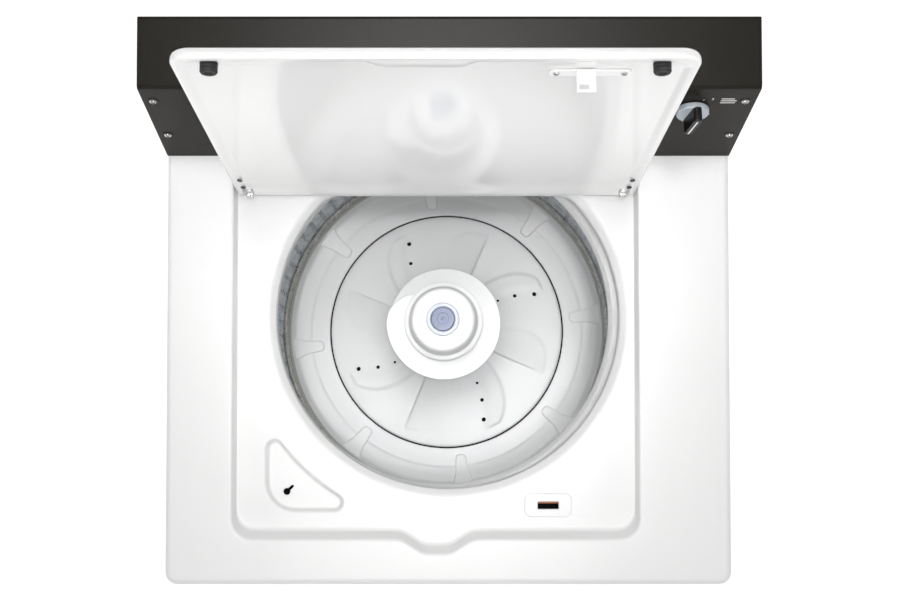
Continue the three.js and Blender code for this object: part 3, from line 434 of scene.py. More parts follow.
def spangled_steel(name, dark, light, rough):
    """Basket steel: grey-blue patches, small dark flecks and faint streaks around."""
    made, tree, shader = material_of(name)
    patches = tinted(tree, noise(tree, 70.0, 8.0, (1, 1, 0.55)), dark, light)
    flecks = between(tree, noise(tree, 330.0, 2.0, (1, 1, 0.7)), 0.3, 1.0, 0.33, 0.42)
    mixed = tree.nodes.new("ShaderNodeMix")
    mixed.data_type, mixed.blend_type = "RGBA", "MULTIPLY"
    factor, first, second = (mixed.inputs[index] for index in COLOUR_MIX_INPUTS)
    factor.default_value = 1.0
    tree.links.new(patches, first)
    tree.links.new(flecks, second)
    tree.links.new(mixed.outputs[COLOUR_MIX_OUTPUT], shader.inputs["Base Color"])
    streaks = noise(tree, 60.0, 5.0, (1, 1, 14))
    tree.links.new(between(tree, streaks, rough * 0.8, rough * 1.25), shader.inputs["Roughness"])
    bumped(tree, shader, noise(tree, 240.0, 5.0), 0.12)
    shader.inputs["Metallic"].default_value = 0.75
    return made


ENAMEL = surface("white enamel", (0.84, 0.84, 0.837), 0.34, grain=420, depth=0.012, mottle=0.008, coat=0.1)
LID_ENAMEL = surface("glossy enamel", (0.83, 0.83, 0.825), 0.13, grain=150, depth=0.0015, mottle=0.006,
                     coat=0.55)
WHITE = surface("white moulding", (0.86, 0.865, 0.86), 0.34, grain=900, depth=0.03, mottle=0.012, inner=0.04)
DISH_WHITE = surface("agitator moulding", (0.84, 0.845, 0.84), 0.36, grain=800, depth=0.03, mottle=0.015)
TUB_WHITE = surface("tub moulding", (0.60, 0.61, 0.61), 0.5, grain=500, depth=0.08, mottle=0.04)
GRAPHITE = surface("graphite paint", (0.0115, 0.0096, 0.0066), 0.3, grain=1500, depth=0.015, shine=0.115)
# Painted light: the basket floor's white is brighter than the other white mouldings, making up for light that
# reaches the basket poorly.
BRIGHTENED_BASKET_WHITE = surface("basket moulding brightened for light", (0.93, 0.935, 0.93), 0.36, grain=900, depth=0.03, mottle=0.012)
HOOP = surface("balance ring moulding", (0.60, 0.605, 0.60), 0.42, grain=900, depth=0.03, mottle=0.015)
# Matt black plastic for real black parts. It also paints shade in the agitator gap, the drain holes, the vent
# mouths and the bleach chute.
SHADE_AND_MATT_BLACK = surface("matt black plastic and painted shade", (0.004, 0.004, 0.004), 0.7, grain=700, depth=0.05, mottle=0.1, shine=0.1)
HOT = surface("hot water marker", (0.45, 0.03, 0.02), 0.45, grain=700, depth=0.03, mottle=0.04)
COLD = surface("cold water marker", (0.02, 0.10, 0.40), 0.45, grain=700, depth=0.03, mottle=0.04)
BLACK = surface("black plastic", (0.006, 0.006, 0.006), 0.38, grain=900, depth=0.05, mottle=0.1)
RUBBER = surface("black rubber", (0.016, 0.016, 0.016), 0.62, grain=600, depth=0.08, mottle=0.15)
GREY = surface("grey plastic", (0.30, 0.32, 0.34), 0.45, grain=700, depth=0.05, mottle=0.04)
SKIRT_GREY = surface("light knob skirt", (0.42, 0.46, 0.50), 0.3, grain=900, depth=0.02, mottle=0.03)
ZINC = surface("zinc plate", (0.52, 0.53, 0.53), 0.36, 0.9, broad=110, mottle=0.05, grain=260, depth=0.05)
BRIGHT = surface("bright screw steel", (0.72, 0.72, 0.71), 0.2, 1.0, grain=300, depth=0.02, mottle=0.04)
DARK_STEEL = surface("dark screw steel", (0.10, 0.10, 0.10), 0.35, 0.8, grain=300, depth=0.03, mottle=0.1)
CAST = surface("cast aluminium", (0.50, 0.51, 0.51), 0.5, 0.85, broad=25, mottle=0.08, grain=320, depth=0.25)
MOTOR_PAINT = surface("motor paint", (0.02, 0.02, 0.023), 0.4, grain=300, depth=0.1, mottle=0.1)
CAP_BLUE = surface("cap moulding", (0.17, 0.20, 0.31), 0.4, grain=700, depth=0.03, mottle=0.04)
CAP_PALE = surface("cap rim", (0.66, 0.69, 0.76), 0.4, grain=700, depth=0.03, mottle=0.02)
AMBER = surface("amber shutter", (0.42, 0.12, 0.015), 0.3, grain=500, depth=0.03, mottle=0.1, inner=0.1)
BOARD = surface("solder mask", (0.03, 0.13, 0.06), 0.35, broad=60, mottle=0.15, grain=500, depth=0.1)
PRINT = surface("white print", (0.75, 0.75, 0.73), 0.5, grain=900, depth=0.01, mottle=0.02)
SEAL = surface("seal ring", (0.50, 0.49, 0.44), 0.45, grain=500, depth=0.05, mottle=0.08)
BASKET = spangled_steel("basket steel", (0.42, 0.455, 0.49), (0.72, 0.755, 0.79), 0.4)
BAND = spangled_steel("basket band steel", (0.30, 0.30, 0.285), (0.62, 0.62, 0.60), 0.36)
SHAFT = surface("ground shaft", (0.60, 0.60, 0.60), 0.25, 1.0, grain=120, depth=0.01, stretch=(1, 1, 20))


# ---------- small fittings ----------
def cross_screw(radius, height):
    """A screw's rounded head, in its own frame: Z out of the panel."""
    dome = [(0, 1), (0.5, 0.96), (0.8, 0.75), (1, 0.3), (1, 0), (0, 0)]
    return lathe([(r * radius, z * height) for r, z in dome], 28)


def crossed_slot_shade(radius, height):
    """The two crossed slots of a screw, painted as thin black bars of shade a hair above its head."""
    form, long, wide = Form(), radius * 0.62, radius * 0.13
    for turn in (0, math.pi / 2):
        bar = block(-long, long, -wide, wide, height * 0.9, height * 1.03, 0.1, 0.05)
        form.merge(bar, Matrix.Rotation(turn + 0.6, 4, "Z"))
    return form


def screw(name, at, body, radius=4.2, height=2.4, material=BRIGHT):
    piece(name, cross_screw(radius, height), material, body, at=at)
    # Painted shade: black bars stand in for the dark inside of the cross recess.
    piece(name + "_recess_shade", crossed_slot_shade(radius, height), BLACK, body, at=at)


# ---------- top panel ----------
def top_panel():
    """The stamped deck: skirt, well, bleach well and the opening's rolled lip, as one sheet."""
    edge = 7
    rim = lambda inset: box_outline(LEFT, FRONT, RIGHT, BACK, 15, 2, inset=inset, steps=10)
    bent = lambda corners, steps: rounded(corners, steps, closed=False)
    skirt = bent([(edge + 2, DECK_Z, 0), (0, DECK_Z, edge), (0, SEAM_Z, 0.8), (2.2, SEAM_Z, 0)], 8)
    well = bent([(-9, DECK_Z, 0), (0, DECK_Z, 5), (8, WELL_Z, 7), (16, WELL_Z, 0)], 8)
    foot = WELL_Z - LIP_DEPTH
    lip = bent([(17, WELL_Z, 0), (9, WELL_Z, 9), (0.8, WELL_Z - 9, 5), (0, foot, 0.8), (2.5, foot, 0)], 8)
    bleach = bent([(4, WELL_Z, 0), (1.6, WELL_Z, 3.2), (-2.0, BLEACH_Z, 3.4), (-7, BLEACH_Z, 0)], 6)
    form = Form()
    form.wall(rim, skirt)
    form.fill(DECK_Z, rim(edge + 2), well_outline(-9))
    form.wall(well_outline, well)
    form.fill(WELL_Z, well_outline(16), opening_outline(17), bleach_outline(4), pad_outline(3))
    form.wall(opening_outline, lip)
    form.wall(bleach_outline, bleach)
    form.fill(BLEACH_Z, bleach_outline(-7), drop_outline(0))
    form.wall(drop_outline, [(0, BLEACH_Z), (-0.3, BLEACH_Z - 0.5), (-0.3, BLEACH_Z - 2)])
    deck = piece("deck_sheet", form, ENAMEL, "cabinet", ["top_panel"], angle=50)
    thicken(deck, DECK_SHEET)


def drop_outline(margin):
    """A round hole with a narrow tail towards the opening."""
    along = math.atan2(8, 8.4)
    radius, tail, half = DROP_R + margin, 11.5, 2.0 + margin
    spread = math.asin(half / radius)
    ring = bend(0, 0, radius, spread, 2 * math.pi - spread, 28)
    ring += [(tail - half, -half), (tail, -half * 0.4), (tail, half * 0.4), (tail - half, half)]
    turn = Matrix.Rotation(along, 2)
    return [tuple(turn @ Vector(point) + Vector((DROP_X, DROP_Y))) for point in ring]


def pad_outline(inset):
    return box_outline(LOCK_X - PAD_X, LOCK_Y - PAD_Y, LOCK_X + PAD_X, LOCK_Y + PAD_Y, 9, inset=inset)


def slot_outline(inset):
    x0, y0, x1, y1 = LOCK_X - SLOT_X, LOCK_Y - SLOT_Y, LOCK_X + SLOT_X, LOCK_Y + SLOT_Y
    return box_outline(x0, y0, x1, y1, 1, inset=inset, steps=4)


def lock_pad():
    """The lid lock's pad around its slot, and the amber shutter along the slot's back side."""
    z0, z1 = WELL_Z + 0.3, WELL_Z + 2.5
    foot = z0 - 4.5
    sides = rounded([(3, foot, 0), (3, z0, 0.3), (0, z0, 0.3), (0.2, z1, 1.6), (4, z1, 0)], 5, closed=False)
    form = Form()
    form.wall(pad_outline, sides)
    form.fill(z1, pad_outline(4), slot_outline(-1))
    form.wall(slot_outline, rounded([(-1, z1, 0), (0, z1, 0.7), (0, foot, 0)], 4, closed=False))
    form.fill(foot, pad_outline(3), slot_outline(0))
    piece("lock_pad", form, WHITE, "cabinet", ["lid_lock_bezel"])
    half, front, rear = SLOT_X - 0.2, LOCK_Y + 2.2, LOCK_Y + SLOT_Y - 0.1
    shutter = block(LOCK_X - half, LOCK_X + half, front, rear, WELL_Z - 5.6, WELL_Z - 1.5, 0.5, 0.5)
    piece("lock_shutter", shutter, AMBER, "cabinet")


# ---------- lid ----------
def lid_outline(side, front, back, corner, rear, bulge=0.0):
    """An outline inside the lid's edges. The bulge widens the front rim behind the finger grip."""
    x0, x1 = -LID_HALF + side, LID_HALF - side
    y0, y1 = LID_FRONT + front, LID_BACK - back
    outline = rounded([(x0, y0, corner), (x1, y0, corner), (x1, y1, rear), (x0, y1, rear)], 10, sides=64)
    return [(x, y + bulge * grip(x) if y < LID_FRONT + front + 0.01 else y) for x, y in outline]


def grip(x, reach=45, soft=9):
    """1 along the finger grip, falling smoothly to 0 at its ends."""
    share = min(max((reach + soft - abs(x - NOTCH_X - 1)) / (2 * soft), 0), 1)
    return share * share * (3 - 2 * share)


def lid_shell():
    """The enamelled tray: a rolled edge, a narrow rim, and a shallow field with soft slopes around it."""
    rings = []
    outer = rounded([(9, LID_TOP, 0), (0, LID_TOP, 7), (0, LID_RIM, 2.6), (5, LID_RIM, 0)], 7, closed=False)
    for inset, z in outer:
        corner, rear = max(20 - inset, 6), max(8 - inset * 0.6, 2.5)
        rings.append(lifted(lid_outline(inset, inset, inset, corner, rear), z))
    slopes = [(5.5, 5.5, 5.5, 0.0, 0.0), (6.3, 7, 8, 0.02, 0.4), (9, 10, 16, 0.3, 0.85),
              (12.5, 14, 26, 0.75, 1.0), (15, 17, 38, 0.97, 1.0), (17, 19, 46, 1.0, 1.0)]
    for side, front, back, share, bulge in slopes:
        z = LID_RIM + (LID_FIELD - LID_RIM) * share
        rings.append(lifted(lid_outline(side, front, back, 20, 14, GRIP_DEPTH * bulge), z))
    crown = []
    for inset, share in ((200, 1.0), (150, 0.97), (100, 0.85), (60, 0.6), (30, 0.28)):
        z = LID_TOP + (LID_CROWN - LID_TOP) * share
        crown.append(lifted(lid_outline(inset, inset, inset, 20, 14), z))
    form = Form().loft(crown + rings, start=True)
    form.fill(LID_FIELD, [(x, y) for x, y, z in rings[-1]])
    piece("lid_shell", form, LID_ENAMEL, "lid", ["lid_panel"], LID, 70, weighted=False)


def lid_fittings():
    strike_x = LOCK_X - JOINTS["lid_hinge"]["pos_m"][0] / MM
    reach = LOCK_Y - JOINTS["lid_hinge"]["pos_m"][1] / MM
    hinge_z = JOINTS["lid_hinge"]["pos_m"][2] / MM
    plate_x, tab_x, tip = strike_x + 7, strike_x + 2, 873.4 - hinge_z
    top = LID_FIELD - 0.1
    form = block(plate_x - 39, plate_x + 39, reach + 0.8, reach + 15, top - 2, top, 5, 0.5)
    bolt_window = (strike_x - 5, strike_x + 5, 875.4 - hinge_z, 880.7 - hinge_z)
    form.merge(windowed_tab(tab_x - 9, tab_x + 9, reach - 1, reach + 1.6, tip, top - 1, bolt_window))
    piece("strike_plate", form, WHITE, "lid", ["lid_strike"], at=LID)
    flip = rotated(180, "X")
    for label, x in (("left", plate_x - 32.5), ("right", plate_x + 32.5)):
        screw(f"strike_screw_{label}", LID @ at(x, reach + 8, top - 2) @ flip, "lid", 3.2, 1.6, ZINC)
    for side, label in SIDES:
        bumper(side, label)
        hinge_set(side, label)


def windowed_tab(x0, x1, y0, y1, z0, z1, window):
    """A plate across Y with a rectangular window through it."""
    w0, w1, v0, v1 = window
    form = Form()
    loops = [[(x0, z0), (x1, z0), (x1, z1), (x0, z1)], [(w0, v0), (w1, v0), (w1, v1), (w0, v1)]]
    for y in (y0, y1):
        flat = Form().fill(0, *loops)
        form.points += [(x, y, z) for x, z, _ in flat.points]
        form.faces += [tuple(i + (8 if y == y1 else 0) for i in face) for face in flat.faces]
    for start in (0, 4):
        for k in range(4):
            a, b = start + k, start + (k + 1) % 4
            form.faces.append((a, b, b + 8, a + 8))
    return form


def bumper(side, label):
    """A ribbed rubber bumper with a dished end."""
    profile = [(0, 1.5, 0), (3.4, 1.5, 0.6), (4.2, 0, 0.8), (7.4, 0, 1.2), (8.5, 1.8, 0.8), (8.5, 3.6, 0.6),
               (7.2, 4.3, 0.4), (8.5, 5.0, 0.6), (8.5, 7.2, 0.6), (7.4, 8, 0.4), (8.6, 8.8, 0.4),
               (8.6, LID_FIELD - 0.1 - BUMPER_END, 0.3), (0, LID_FIELD - 0.1 - BUMPER_END, 0)]
    form, place = turned(profile, 48), LID @ at(side * BUMPER_X, BUMPER_Y, BUMPER_END)
    piece(f"bumper_{label}", form, RUBBER, "lid", [f"lid_bumper_{label}"], place)


def hinge_set(side, label):
    """The pin's bright end, the plate that holds it and the two dark screws on the lid's side slope."""
    tilt = rotated(side * -20, "Y")
    flip = rotated(180, "X")
    for number, y in ((1, -51), (2, -22)):
        place = LID @ at(side * 238.5, y, LID_RIM + 1.6) @ tilt @ flip
        screw(f"hinge_screw_{label}_{number}", place, "lid", 4.0, 2.4, DARK_STEEL)
    plate = block(228, 241, -12, 6, LID_RIM - 1.2, LID_RIM + 1.8, 3, 0.5)
    if side < 0:
        plate.points = [(-x, y, z) for x, y, z in plate.points]
    piece(f"hinge_plate_{label}", plate, ZINC, "lid", at=LID)
    pin = turned([(0, 0, 0), (3.6, 0, 1), (3.6, 9, 1.2), (0, 9, 0)], 28)
    lay = rotated(side * -90, "Y")
    piece(f"hinge_pin_{label}", pin, BRIGHT, "lid", at=LID @ at(side * 237, -3, LID_RIM - 2.6) @ lay)


# ---------- console ----------
FOOT_Y, FOLD_Y, CONSOLE_HALF, CONSOLE_SHEET = 187.5, 231.4, 349, 1.5
SCREW_X, SCREW_RISES = 337, (("low", 59), ("high", 143.5))
KNOB_RIBS, RIB_DEPTH, GRIP_TOP = 48, 0.012, 24
# Each knob's name, radius and the way it points at rest.
KNOBS = (("load", 19, 135), ("temperature", 19, 135), ("cycle", 27, 0), ("options", 19, 169))
# Each dial's name, knob radius, first and last tick, number of ticks, and numerals with angle and reach.
DIAL_MARKS = (
    ("load", 19, -135, 135, 11), ("temperature", 19, -135, 135, 6), ("cycle", 27, 0, 354, 60),
    ("options", 19, -120, 169, 4, (("1", 169, 30), ("2", 60, 30), ("3", -40, 30))),
)
# Each list of dashes: its name, place across and up the face, and the length of each dash.
DASHES = (
    ("load_list", -160, 146, (9, 12, 8, 11, 7)), ("temperature_list", -45, 146, (11, 8, 12, 9)),
    ("cycle_list_left", 44, 168, (12, 9, 11, 8, 12, 10, 9, 11)),
    ("cycle_list_right", 134, 168, (10, 12, 9, 11, 8, 12, 10, 9)), ("options_list", 309, 149, (15, 18, 17)),
)
CONSOLE_BASE = DECK_Z + 0.3
SLOPE = math.atan2(FOLD_Z - CONSOLE_BASE, FOLD_Y - FOOT_Y)


def on_face(x, rise):
    """A frame on the console's sloping face: Z out of it and Y up the slope."""
    y, z = FOOT_Y + rise * math.cos(SLOPE), CONSOLE_BASE + rise * math.sin(SLOPE)
    return at(x, y, z) @ Matrix.Rotation(SLOPE, 4, "X")


def console_sheet():
    """The bent sheet: a hem at the foot, the sloping face, a rolled fold, the top and the back flange."""
    profile = rounded([(FOOT_Y + 12, CONSOLE_BASE, 0), (FOOT_Y, CONSOLE_BASE, 1.2), (FOLD_Y, FOLD_Z, 5),
                       (BACK, FOLD_Z, 4), (BACK, FOLD_Z - 15, 0)], 8, closed=False)
    stations = (-CONSOLE_HALF, -120, 120, CONSOLE_HALF)
    form = Form().loft([[(x, y, z) for y, z in profile] for x in stations], closed=False)
    sheet = piece("console_sheet", form, GRAPHITE, "cabinet", ["console_panel"], angle=60)
    thicken(sheet, CONSOLE_SHEET)
    soften(sheet)
    sheet.modifiers.move(2, 1)


def console_fittings():
    """The face's four screws, each in a shallow painted seat."""
    for side, label in SIDES:
        for level, rise in SCREW_RISES:
            place = on_face(side * SCREW_X, rise)
            screw(f"console_screw_{label}_{level}", place, "cabinet", 4.4, 2.6)
            cup = turned([(0, -0.2, 0), (7, -0.2, 0.1), (6.6, 0.5, 0.3), (5.2, 0.4, 0.2), (0, 0.4, 0)], 36)
            piece(f"screw_seat_{label}_{level}", cup, GRAPHITE, "cabinet", at=place)


def face_knob(name, radius, turn):
    """A round skirt with fine ribs, a bar grip and a white pointer line."""
    place = axis_frame(f"{name}_turn") @ rotated(turn)
    body = f"{name}_dial"
    piece(f"{name}_knob_skirt", knob_skirt(radius), SKIRT_GREY, body, at=place)
    piece(f"{name}_knob_grip", knob_grip(radius), BLACK, body, [f"{name}_knob"], at=place)
    line = block(-0.9, 0.9, -radius * 0.72, radius * 0.86, GRIP_TOP - 0.3, GRIP_TOP + 0.05, 0.3, 0.1)
    line.merge(block(-0.8, 0.8, radius * 0.86, radius * 0.93, GRIP_TOP / 2, GRIP_TOP - 0.1, 0.3, 0.1))
    piece(f"{name}_knob_pointer", line, PRINT, body, at=place)


def knob_skirt(radius):
    """A low dished cup: the ribs are dents around its outer side."""
    levels = [(0.97, 1.0), (1.0, 1.6), (1.0, 5.4), (0.985, 6.6)]
    levels += [(0.95, 7.4), (0.9, 7.9), (0.86, 7.6), (0.5, 7.4)]
    rings = []
    for share, z in levels:
        depth = RIB_DEPTH if share > 0.96 else 0
        dents = [(turn, depth * (1 - math.cos(KNOB_RIBS * turn)) / 2) for turn in turns_of(KNOB_RIBS * 4)]
        rings.append([(*polar(radius * (share - dent), turn), z) for turn, dent in dents])
    return Form().loft(rings, start=True, end=True)


def knob_grip(radius):
    """The bar that the fingers turn, with a softened top."""
    half, reach = radius * 0.27, radius * 0.98
    rings = []
    for share, z in [(1.0, 7), (0.99, 12), (0.94, 20), (0.88, 22.6), (0.76, 23.7), (0.55, GRIP_TOP)]:
        wide, long = half * (0.45 + 0.55 * share), reach * (0.86 + 0.14 * share)
        rings.append(lifted(box_outline(-wide, -long, wide, long, wide * 0.8, steps=6), z))
    return Form().loft(rings, start=True, end=True)


def dial_marks(name, radius, first, last, count, numbers=()):
    """Printed ticks around a knob, every fifth one longer, and plain numerals where asked."""
    place, form = axis_frame(f"{name}_turn"), Form()
    for k in range(count):
        tick = block(-0.55, 0.55, radius + 3.2, radius + (7.2 if k % 5 == 0 else 5.4), 0.06, 0.22, 0.2, 0.05)
        form.merge(tick, rotated(first + (last - first) * k / (count - 1)))
    piece(f"{name}_dial_marks", form, PRINT, "cabinet", at=place)
    for text, angle, reach in numbers:
        spot = rotated(angle) @ Vector((0, reach, 0.06))
        numeral(f"{name}_dial_{text}", text, place @ at(*spot), 6.0)


def numeral(name, text, place, size):
    """A printed numeral, raised by a hair."""
    letters = bpy.data.curves.new(name, "FONT")
    letters.body, letters.size, letters.extrude = text, size * MM, 0.06 * MM
    letters.align_x, letters.align_y = "CENTER", "CENTER"
    holder = placed(name, letters)
    graph = bpy.context.evaluated_depsgraph_get()
    mesh = bpy.data.meshes.new_from_object(holder.evaluated_get(graph))
    bpy.data.objects.remove(holder)
    mesh.transform(Matrix.Translation(place.translation * MM) @ place.to_3x3().to_4x4())
    mesh.materials.clear()
    mesh.materials.append(PRINT)
    made = placed(name, mesh)
    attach(made, "cabinet")


def start_button():
    """A shallow ring around a slightly dished cap, with a printed circle on the cap."""
    place = button_frame()
    ring = turned([(11.5, 0.05, 0.1), (14.5, 0.05, 0.3), (14, 4.1, 0.8), (11.5, 4.4, 0.5)], 64)
    piece("start_ring", ring, SKIRT_GREY, "cabinet", at=place)
    cap = turned([(0, 4.0, 0), (11, 4.0, 0.2), (11, 5.9, 1.0), (0, 5.1, 0)], 64)
    piece("start_cap", cap, GREY, "start_key", ["start_button"], at=place)
    mark = turned([(2.6, 5.15, 0.1), (3.6, 5.2, 0.1), (3.6, 5.5, 0.1), (2.6, 5.5, 0.1)], 32)
    piece("start_mark", mark, PRINT, "start_key", at=place)


def button_frame():
    """The frame on the console's face at the button's middle."""
    centre = middle("start_button")
    face = on_face(centre.x, 0)
    return face @ at(0, (face.inverted() @ centre).y, 0)


# ---------- basket ----------
HOLE_COLUMNS, HOLE_ROWS, HOLE_R, HOLES_Z0, HOLES_Z1 = 72, 11, 3.6, 612, 800
WALL_FOOT, WALL_SHEET, LIFTERS, FIRST_LIFTER = 582, 1.2, 8, 6.5


def perforated_wall():
    """The basket's steel wall, with real holes, a rolled top edge and a stiffening bead near its foot."""
    wide, tall = 2 * math.pi / HOLE_COLUMNS, (HOLES_Z1 - HOLES_Z0) / HOLE_ROWS
    form, outer, edge = Form(), WALL_R + WALL_SHEET, WALL_TOP - 1
    for row in range(HOLE_ROWS):
        for column in range(HOLE_COLUMNS):
            perforated_cell(form, (column + 0.5) * wide, HOLES_Z0 + (row + 0.5) * tall, wide / 2, tall / 2)
    above = [(WALL_R, HOLES_Z1), (WALL_R, edge), (WALL_R + 0.6, WALL_TOP), (outer, edge), (outer, HOLES_Z1)]
    below = [(outer, HOLES_Z0), (outer, WALL_FOOT), (WALL_R, WALL_FOOT), (WALL_R, HOLES_Z0)]
    for profile in (above, below):
        form.merge(lathe(profile, HOLE_COLUMNS * 2, closed=False))
    piece("basket_skin", form, BASKET, "basket", ["basket_wall"], at=TUB, weighted=False)
    bead = turned([(235.6, 583, 0.8), (WALL_R + 0.2, 583, 0.1), (WALL_R + 0.2, 611, 0.1), (237.6, 608, 2.5),
                   (236.6, 598, 2), (238.2, 592, 1.6)], 144)
    piece("basket_bead", bead, BAND, "basket", at=TUB)


def perforated_cell(form, turn, z, half_turn, half_z):
    """One cell of the wall around its hole, on both faces, with the hole's rim between them."""
    corners = [(1, 0), (1, 1), (0, 1), (-1, 1), (-1, 0), (-1, -1), (0, -1), (1, -1)]
    base = len(form.points)
    for radius in (WALL_R, WALL_R + WALL_SHEET):
        for a, b in corners:
            form.points.append((*polar(radius, turn + a * half_turn), z + b * half_z))
        for across, rise in circle(0, 0, HOLE_R, 8):
            form.points.append((*polar(radius, turn + across / WALL_R), z + rise))
    for k in range(8):
        m = (k + 1) % 8
        for layer in (0, 16):
            form.faces.append(tuple(base + layer + i for i in (k, m, 8 + m, 8 + k)))
        form.faces.append(tuple(base + i for i in (8 + k, 8 + m, 24 + m, 24 + k)))


def basket_floor():
    """The moulded floor with its cove, the seal, a matt black ring that paints the shadow in the gap around
    the agitator, and the lifters.
    """
    form = turned([(26, 532, 0.5), (182, 532, 2), (190, 542, 2), (239.7, 542, 1), (239.7, 580, 0.8),
                   (236.4, 580, 0.8), (235.2, 563, 2), (229, 552.6, 7), (207, FLOOR_Z + 1.2, 6),
                   (203.5, FLOOR_Z, 3), (177.2, FLOOR_Z, 0.8), (177.2, 536, 1), (26, 536, 0.5)], 192, 6)
    piece("basket_floor", form, BRIGHTENED_BASKET_WHITE, "basket", ["basket_base"], at=TUB, angle=40)
    seal = turned([(233.8, 569, 0.4), (236.2, 568, 0.3), (239.2, 582.6, 0.4), (234.4, 582.6, 1)], 192)
    piece("basket_seal", seal, SEAL, "basket", at=TUB)
    # Painted shade: a thin matt black ring stands in for the dark shadow in the gap between the dish and the
    # floor.
    gap_shade = turned([(175.3, 536.2, 0.1), (177.1, 536.2, 0.1), (177.1, 546, 0.1), (175.3, 546, 0.1)], 192)
    piece("dish_gap_shade_ring", gap_shade, SHADE_AND_MATT_BLACK, "basket", at=TUB)
    lifters = Form()
    for number in range(LIFTERS):
        lifters.merge(lifter(), rotated(FIRST_LIFTER + 360 / LIFTERS * number))
    piece("floor_lifters", lifters, BRIGHTENED_BASKET_WHITE, "basket", at=TUB, angle=40)


def lifter():
    """A low wedge with a round tip, widening towards the wall."""
    rings = []
    for inset, rise in ((0, -1), (0, 1.2), (0.5, 2.1), (1.4, 2.6), (2.6, 2.8)):
        tip, root, soft = 7.5 - inset * 0.8, 17 - inset, 6.6 - inset * 0.8
        corners = [(187 + inset, -tip, soft), (214, -tip - 3, 20), (232, -root, 0.5), (232, root, 0.5),
                   (214, tip + 3, 20), (187 + inset, tip, soft)]
        outline = rounded(corners, 6, sides=5)
        rings.append([(x, y, FLOOR_Z + rise + max(0, (x - 214) * 0.28)) for x, y in outline])
    return Form().loft(rings, start=True, end=True)


def balance_ring():
    form = turned([(218, 822, 2), (239.7, 822, 0.5), (239.7, 836.2, 0.3), (241.6, 836.2, 0.3),
                   (241.6, 822, 0.5), (246, 822, 1), (246, 855, 5), (217.5, 856, 5), (212, 850, 4)], 160, 6)
    piece("balance_hoop", form, HOOP, "basket", ["balance_ring"], at=TUB)


# ---------- agitator ----------
LEAF_TURN, LEAF_REACH, DISH_SIDES = 67.0, 158.0, 480
FLIGHT_TURNS, FLIGHT_START, FLIGHT_TOP, FLIGHT_FOOT, FLIGHT_STEPS = 1.35, 131.0, 779.0, 695.0, 160
# The reach, angle and radius of the drain holes in each quarter of the dish.
DISH_HOLES = ((145, 113, 3.3), (117, 117.5, 2.8), (91, 120.8, 2.1))


def dish_height(radius, angle):
    """The dish's surface: a flared middle, four broad leaves with one sharp side, and four softer ones."""
    flare = 552.4 + 62 * math.exp(-(radius - 46) / 19)
    quarter = (angle - LEAF_TURN) % 90
    share = radius / LEAF_REACH
    if share >= 1:
        return flare - max(0, radius - 172.5) ** 2 * 0.2
    spread = 28 * math.sqrt(max(0, 1 - share**6))
    tall = 24 * (1 - share) ** 1.5 + 0.8 * (1 - share**8)
    if quarter < spread:
        rise = (1 - quarter / spread) ** 2 * tall + 0.6 * smooth(min(1, (1 - quarter / spread) * 6))
    else:
        rise = smooth(max(0, 1 - (90 - quarter) / (150 / radius))) * (tall + 0.6)
    hollow_start = 46 + (147 - radius) * 0.16
    soft_spread = 21 * math.sqrt(max(0, 1 - (radius / 168) ** 5))
    into = quarter - hollow_start
    if 0 <= into < soft_spread:
        part = into / soft_spread
        rise += (1.6 + 4.0 * (1 - share)) * smooth(min(1, (1 - part) * 5)) * smooth(min(1, part * 2.2))
    return flare + rise


def smooth(share):
    return share * share * (3 - 2 * share)


def agitator():
    """The lower part: one moulding, from the dish's rim up to the barrel that the auger turns on."""
    radii = [42 + 1.0 * k for k in range(30)] + [72 + 2.2 * k for k in range(46)] + [173.6, 174.6]
    top = []
    for radius in radii:
        heights = [dish_height(radius, 360 * k / DISH_SIDES) for k in range(DISH_SIDES)]
        top.append([(*polar(radius, turn), z) for turn, z in zip(turns_of(DISH_SIDES), heights)])
    underside = [(DISH_R, 548.8), (DISH_R, 545), (170, 541.4), (120, 545), (70, 552), (26, 552)]
    underside += [(24, 686), (42, 686)]
    below = [[(*polar(radius, turn), z) for turn in turns_of(DISH_SIDES)] for radius, z in underside]
    form = Form().loft(below[-1:] + top + below)
    made = piece("agitator_dish", form, DISH_WHITE, "agitator", ["agitator_base"], TUB, 40)
    drill_dish(made)


def drill_dish(made):
    """Drills the dish's small drain holes, and sets a matt black cup under each as painted shade inside the
    hole.
    """
    cutter, hole_shade_cups = Form(), Form()
    for quarter in range(4):
        for reach, angle, size in DISH_HOLES:
            place = at(*polar(reach, math.radians(angle + 90 * quarter)), 0)
            cutter.merge(lathe([(0, 500), (size, 500), (size, 620), (0, 620)], 16), TUB @ place)
            rim = size + 0.6
            # Painted shade: the black cup makes the hole's inside dark.
            cup = lathe([(0, 541), (rim, 541), (rim, 550), (size, 550), (size, 542), (0, 542)], 16)
            hole_shade_cups.merge(cup, place)
    carve(made, cutter)
    piece("drain_hole_shades", hole_shade_cups, SHADE_AND_MATT_BLACK, "agitator", at=TUB)


def auger():
    """The sleeve with its shoulder and dome, and one flight that winds down from a tapered start."""
    sleeve = turned([(44, 690, 0.5), (53, 690, 2), (50, 700, 3), (49.4, 780, 3), (52.2, 786, 2.5),
                     (52.2, 791, 2.2), (45.5, 793.6, 3.6), (44.6, 812, 6), (41, 826, 9), (30, 830.6, 5),
                     (22, 831, 0.4), (22, 827, 0.4), (34, 825, 4), (42, 812, 6), (44, 780, 1)], 128, 6)
    piece("auger_sleeve", sleeve, WHITE, "auger_top", ["auger"], at=TUB)
    piece("auger_flight", flight(), WHITE, "auger_top", at=TUB, angle=50)


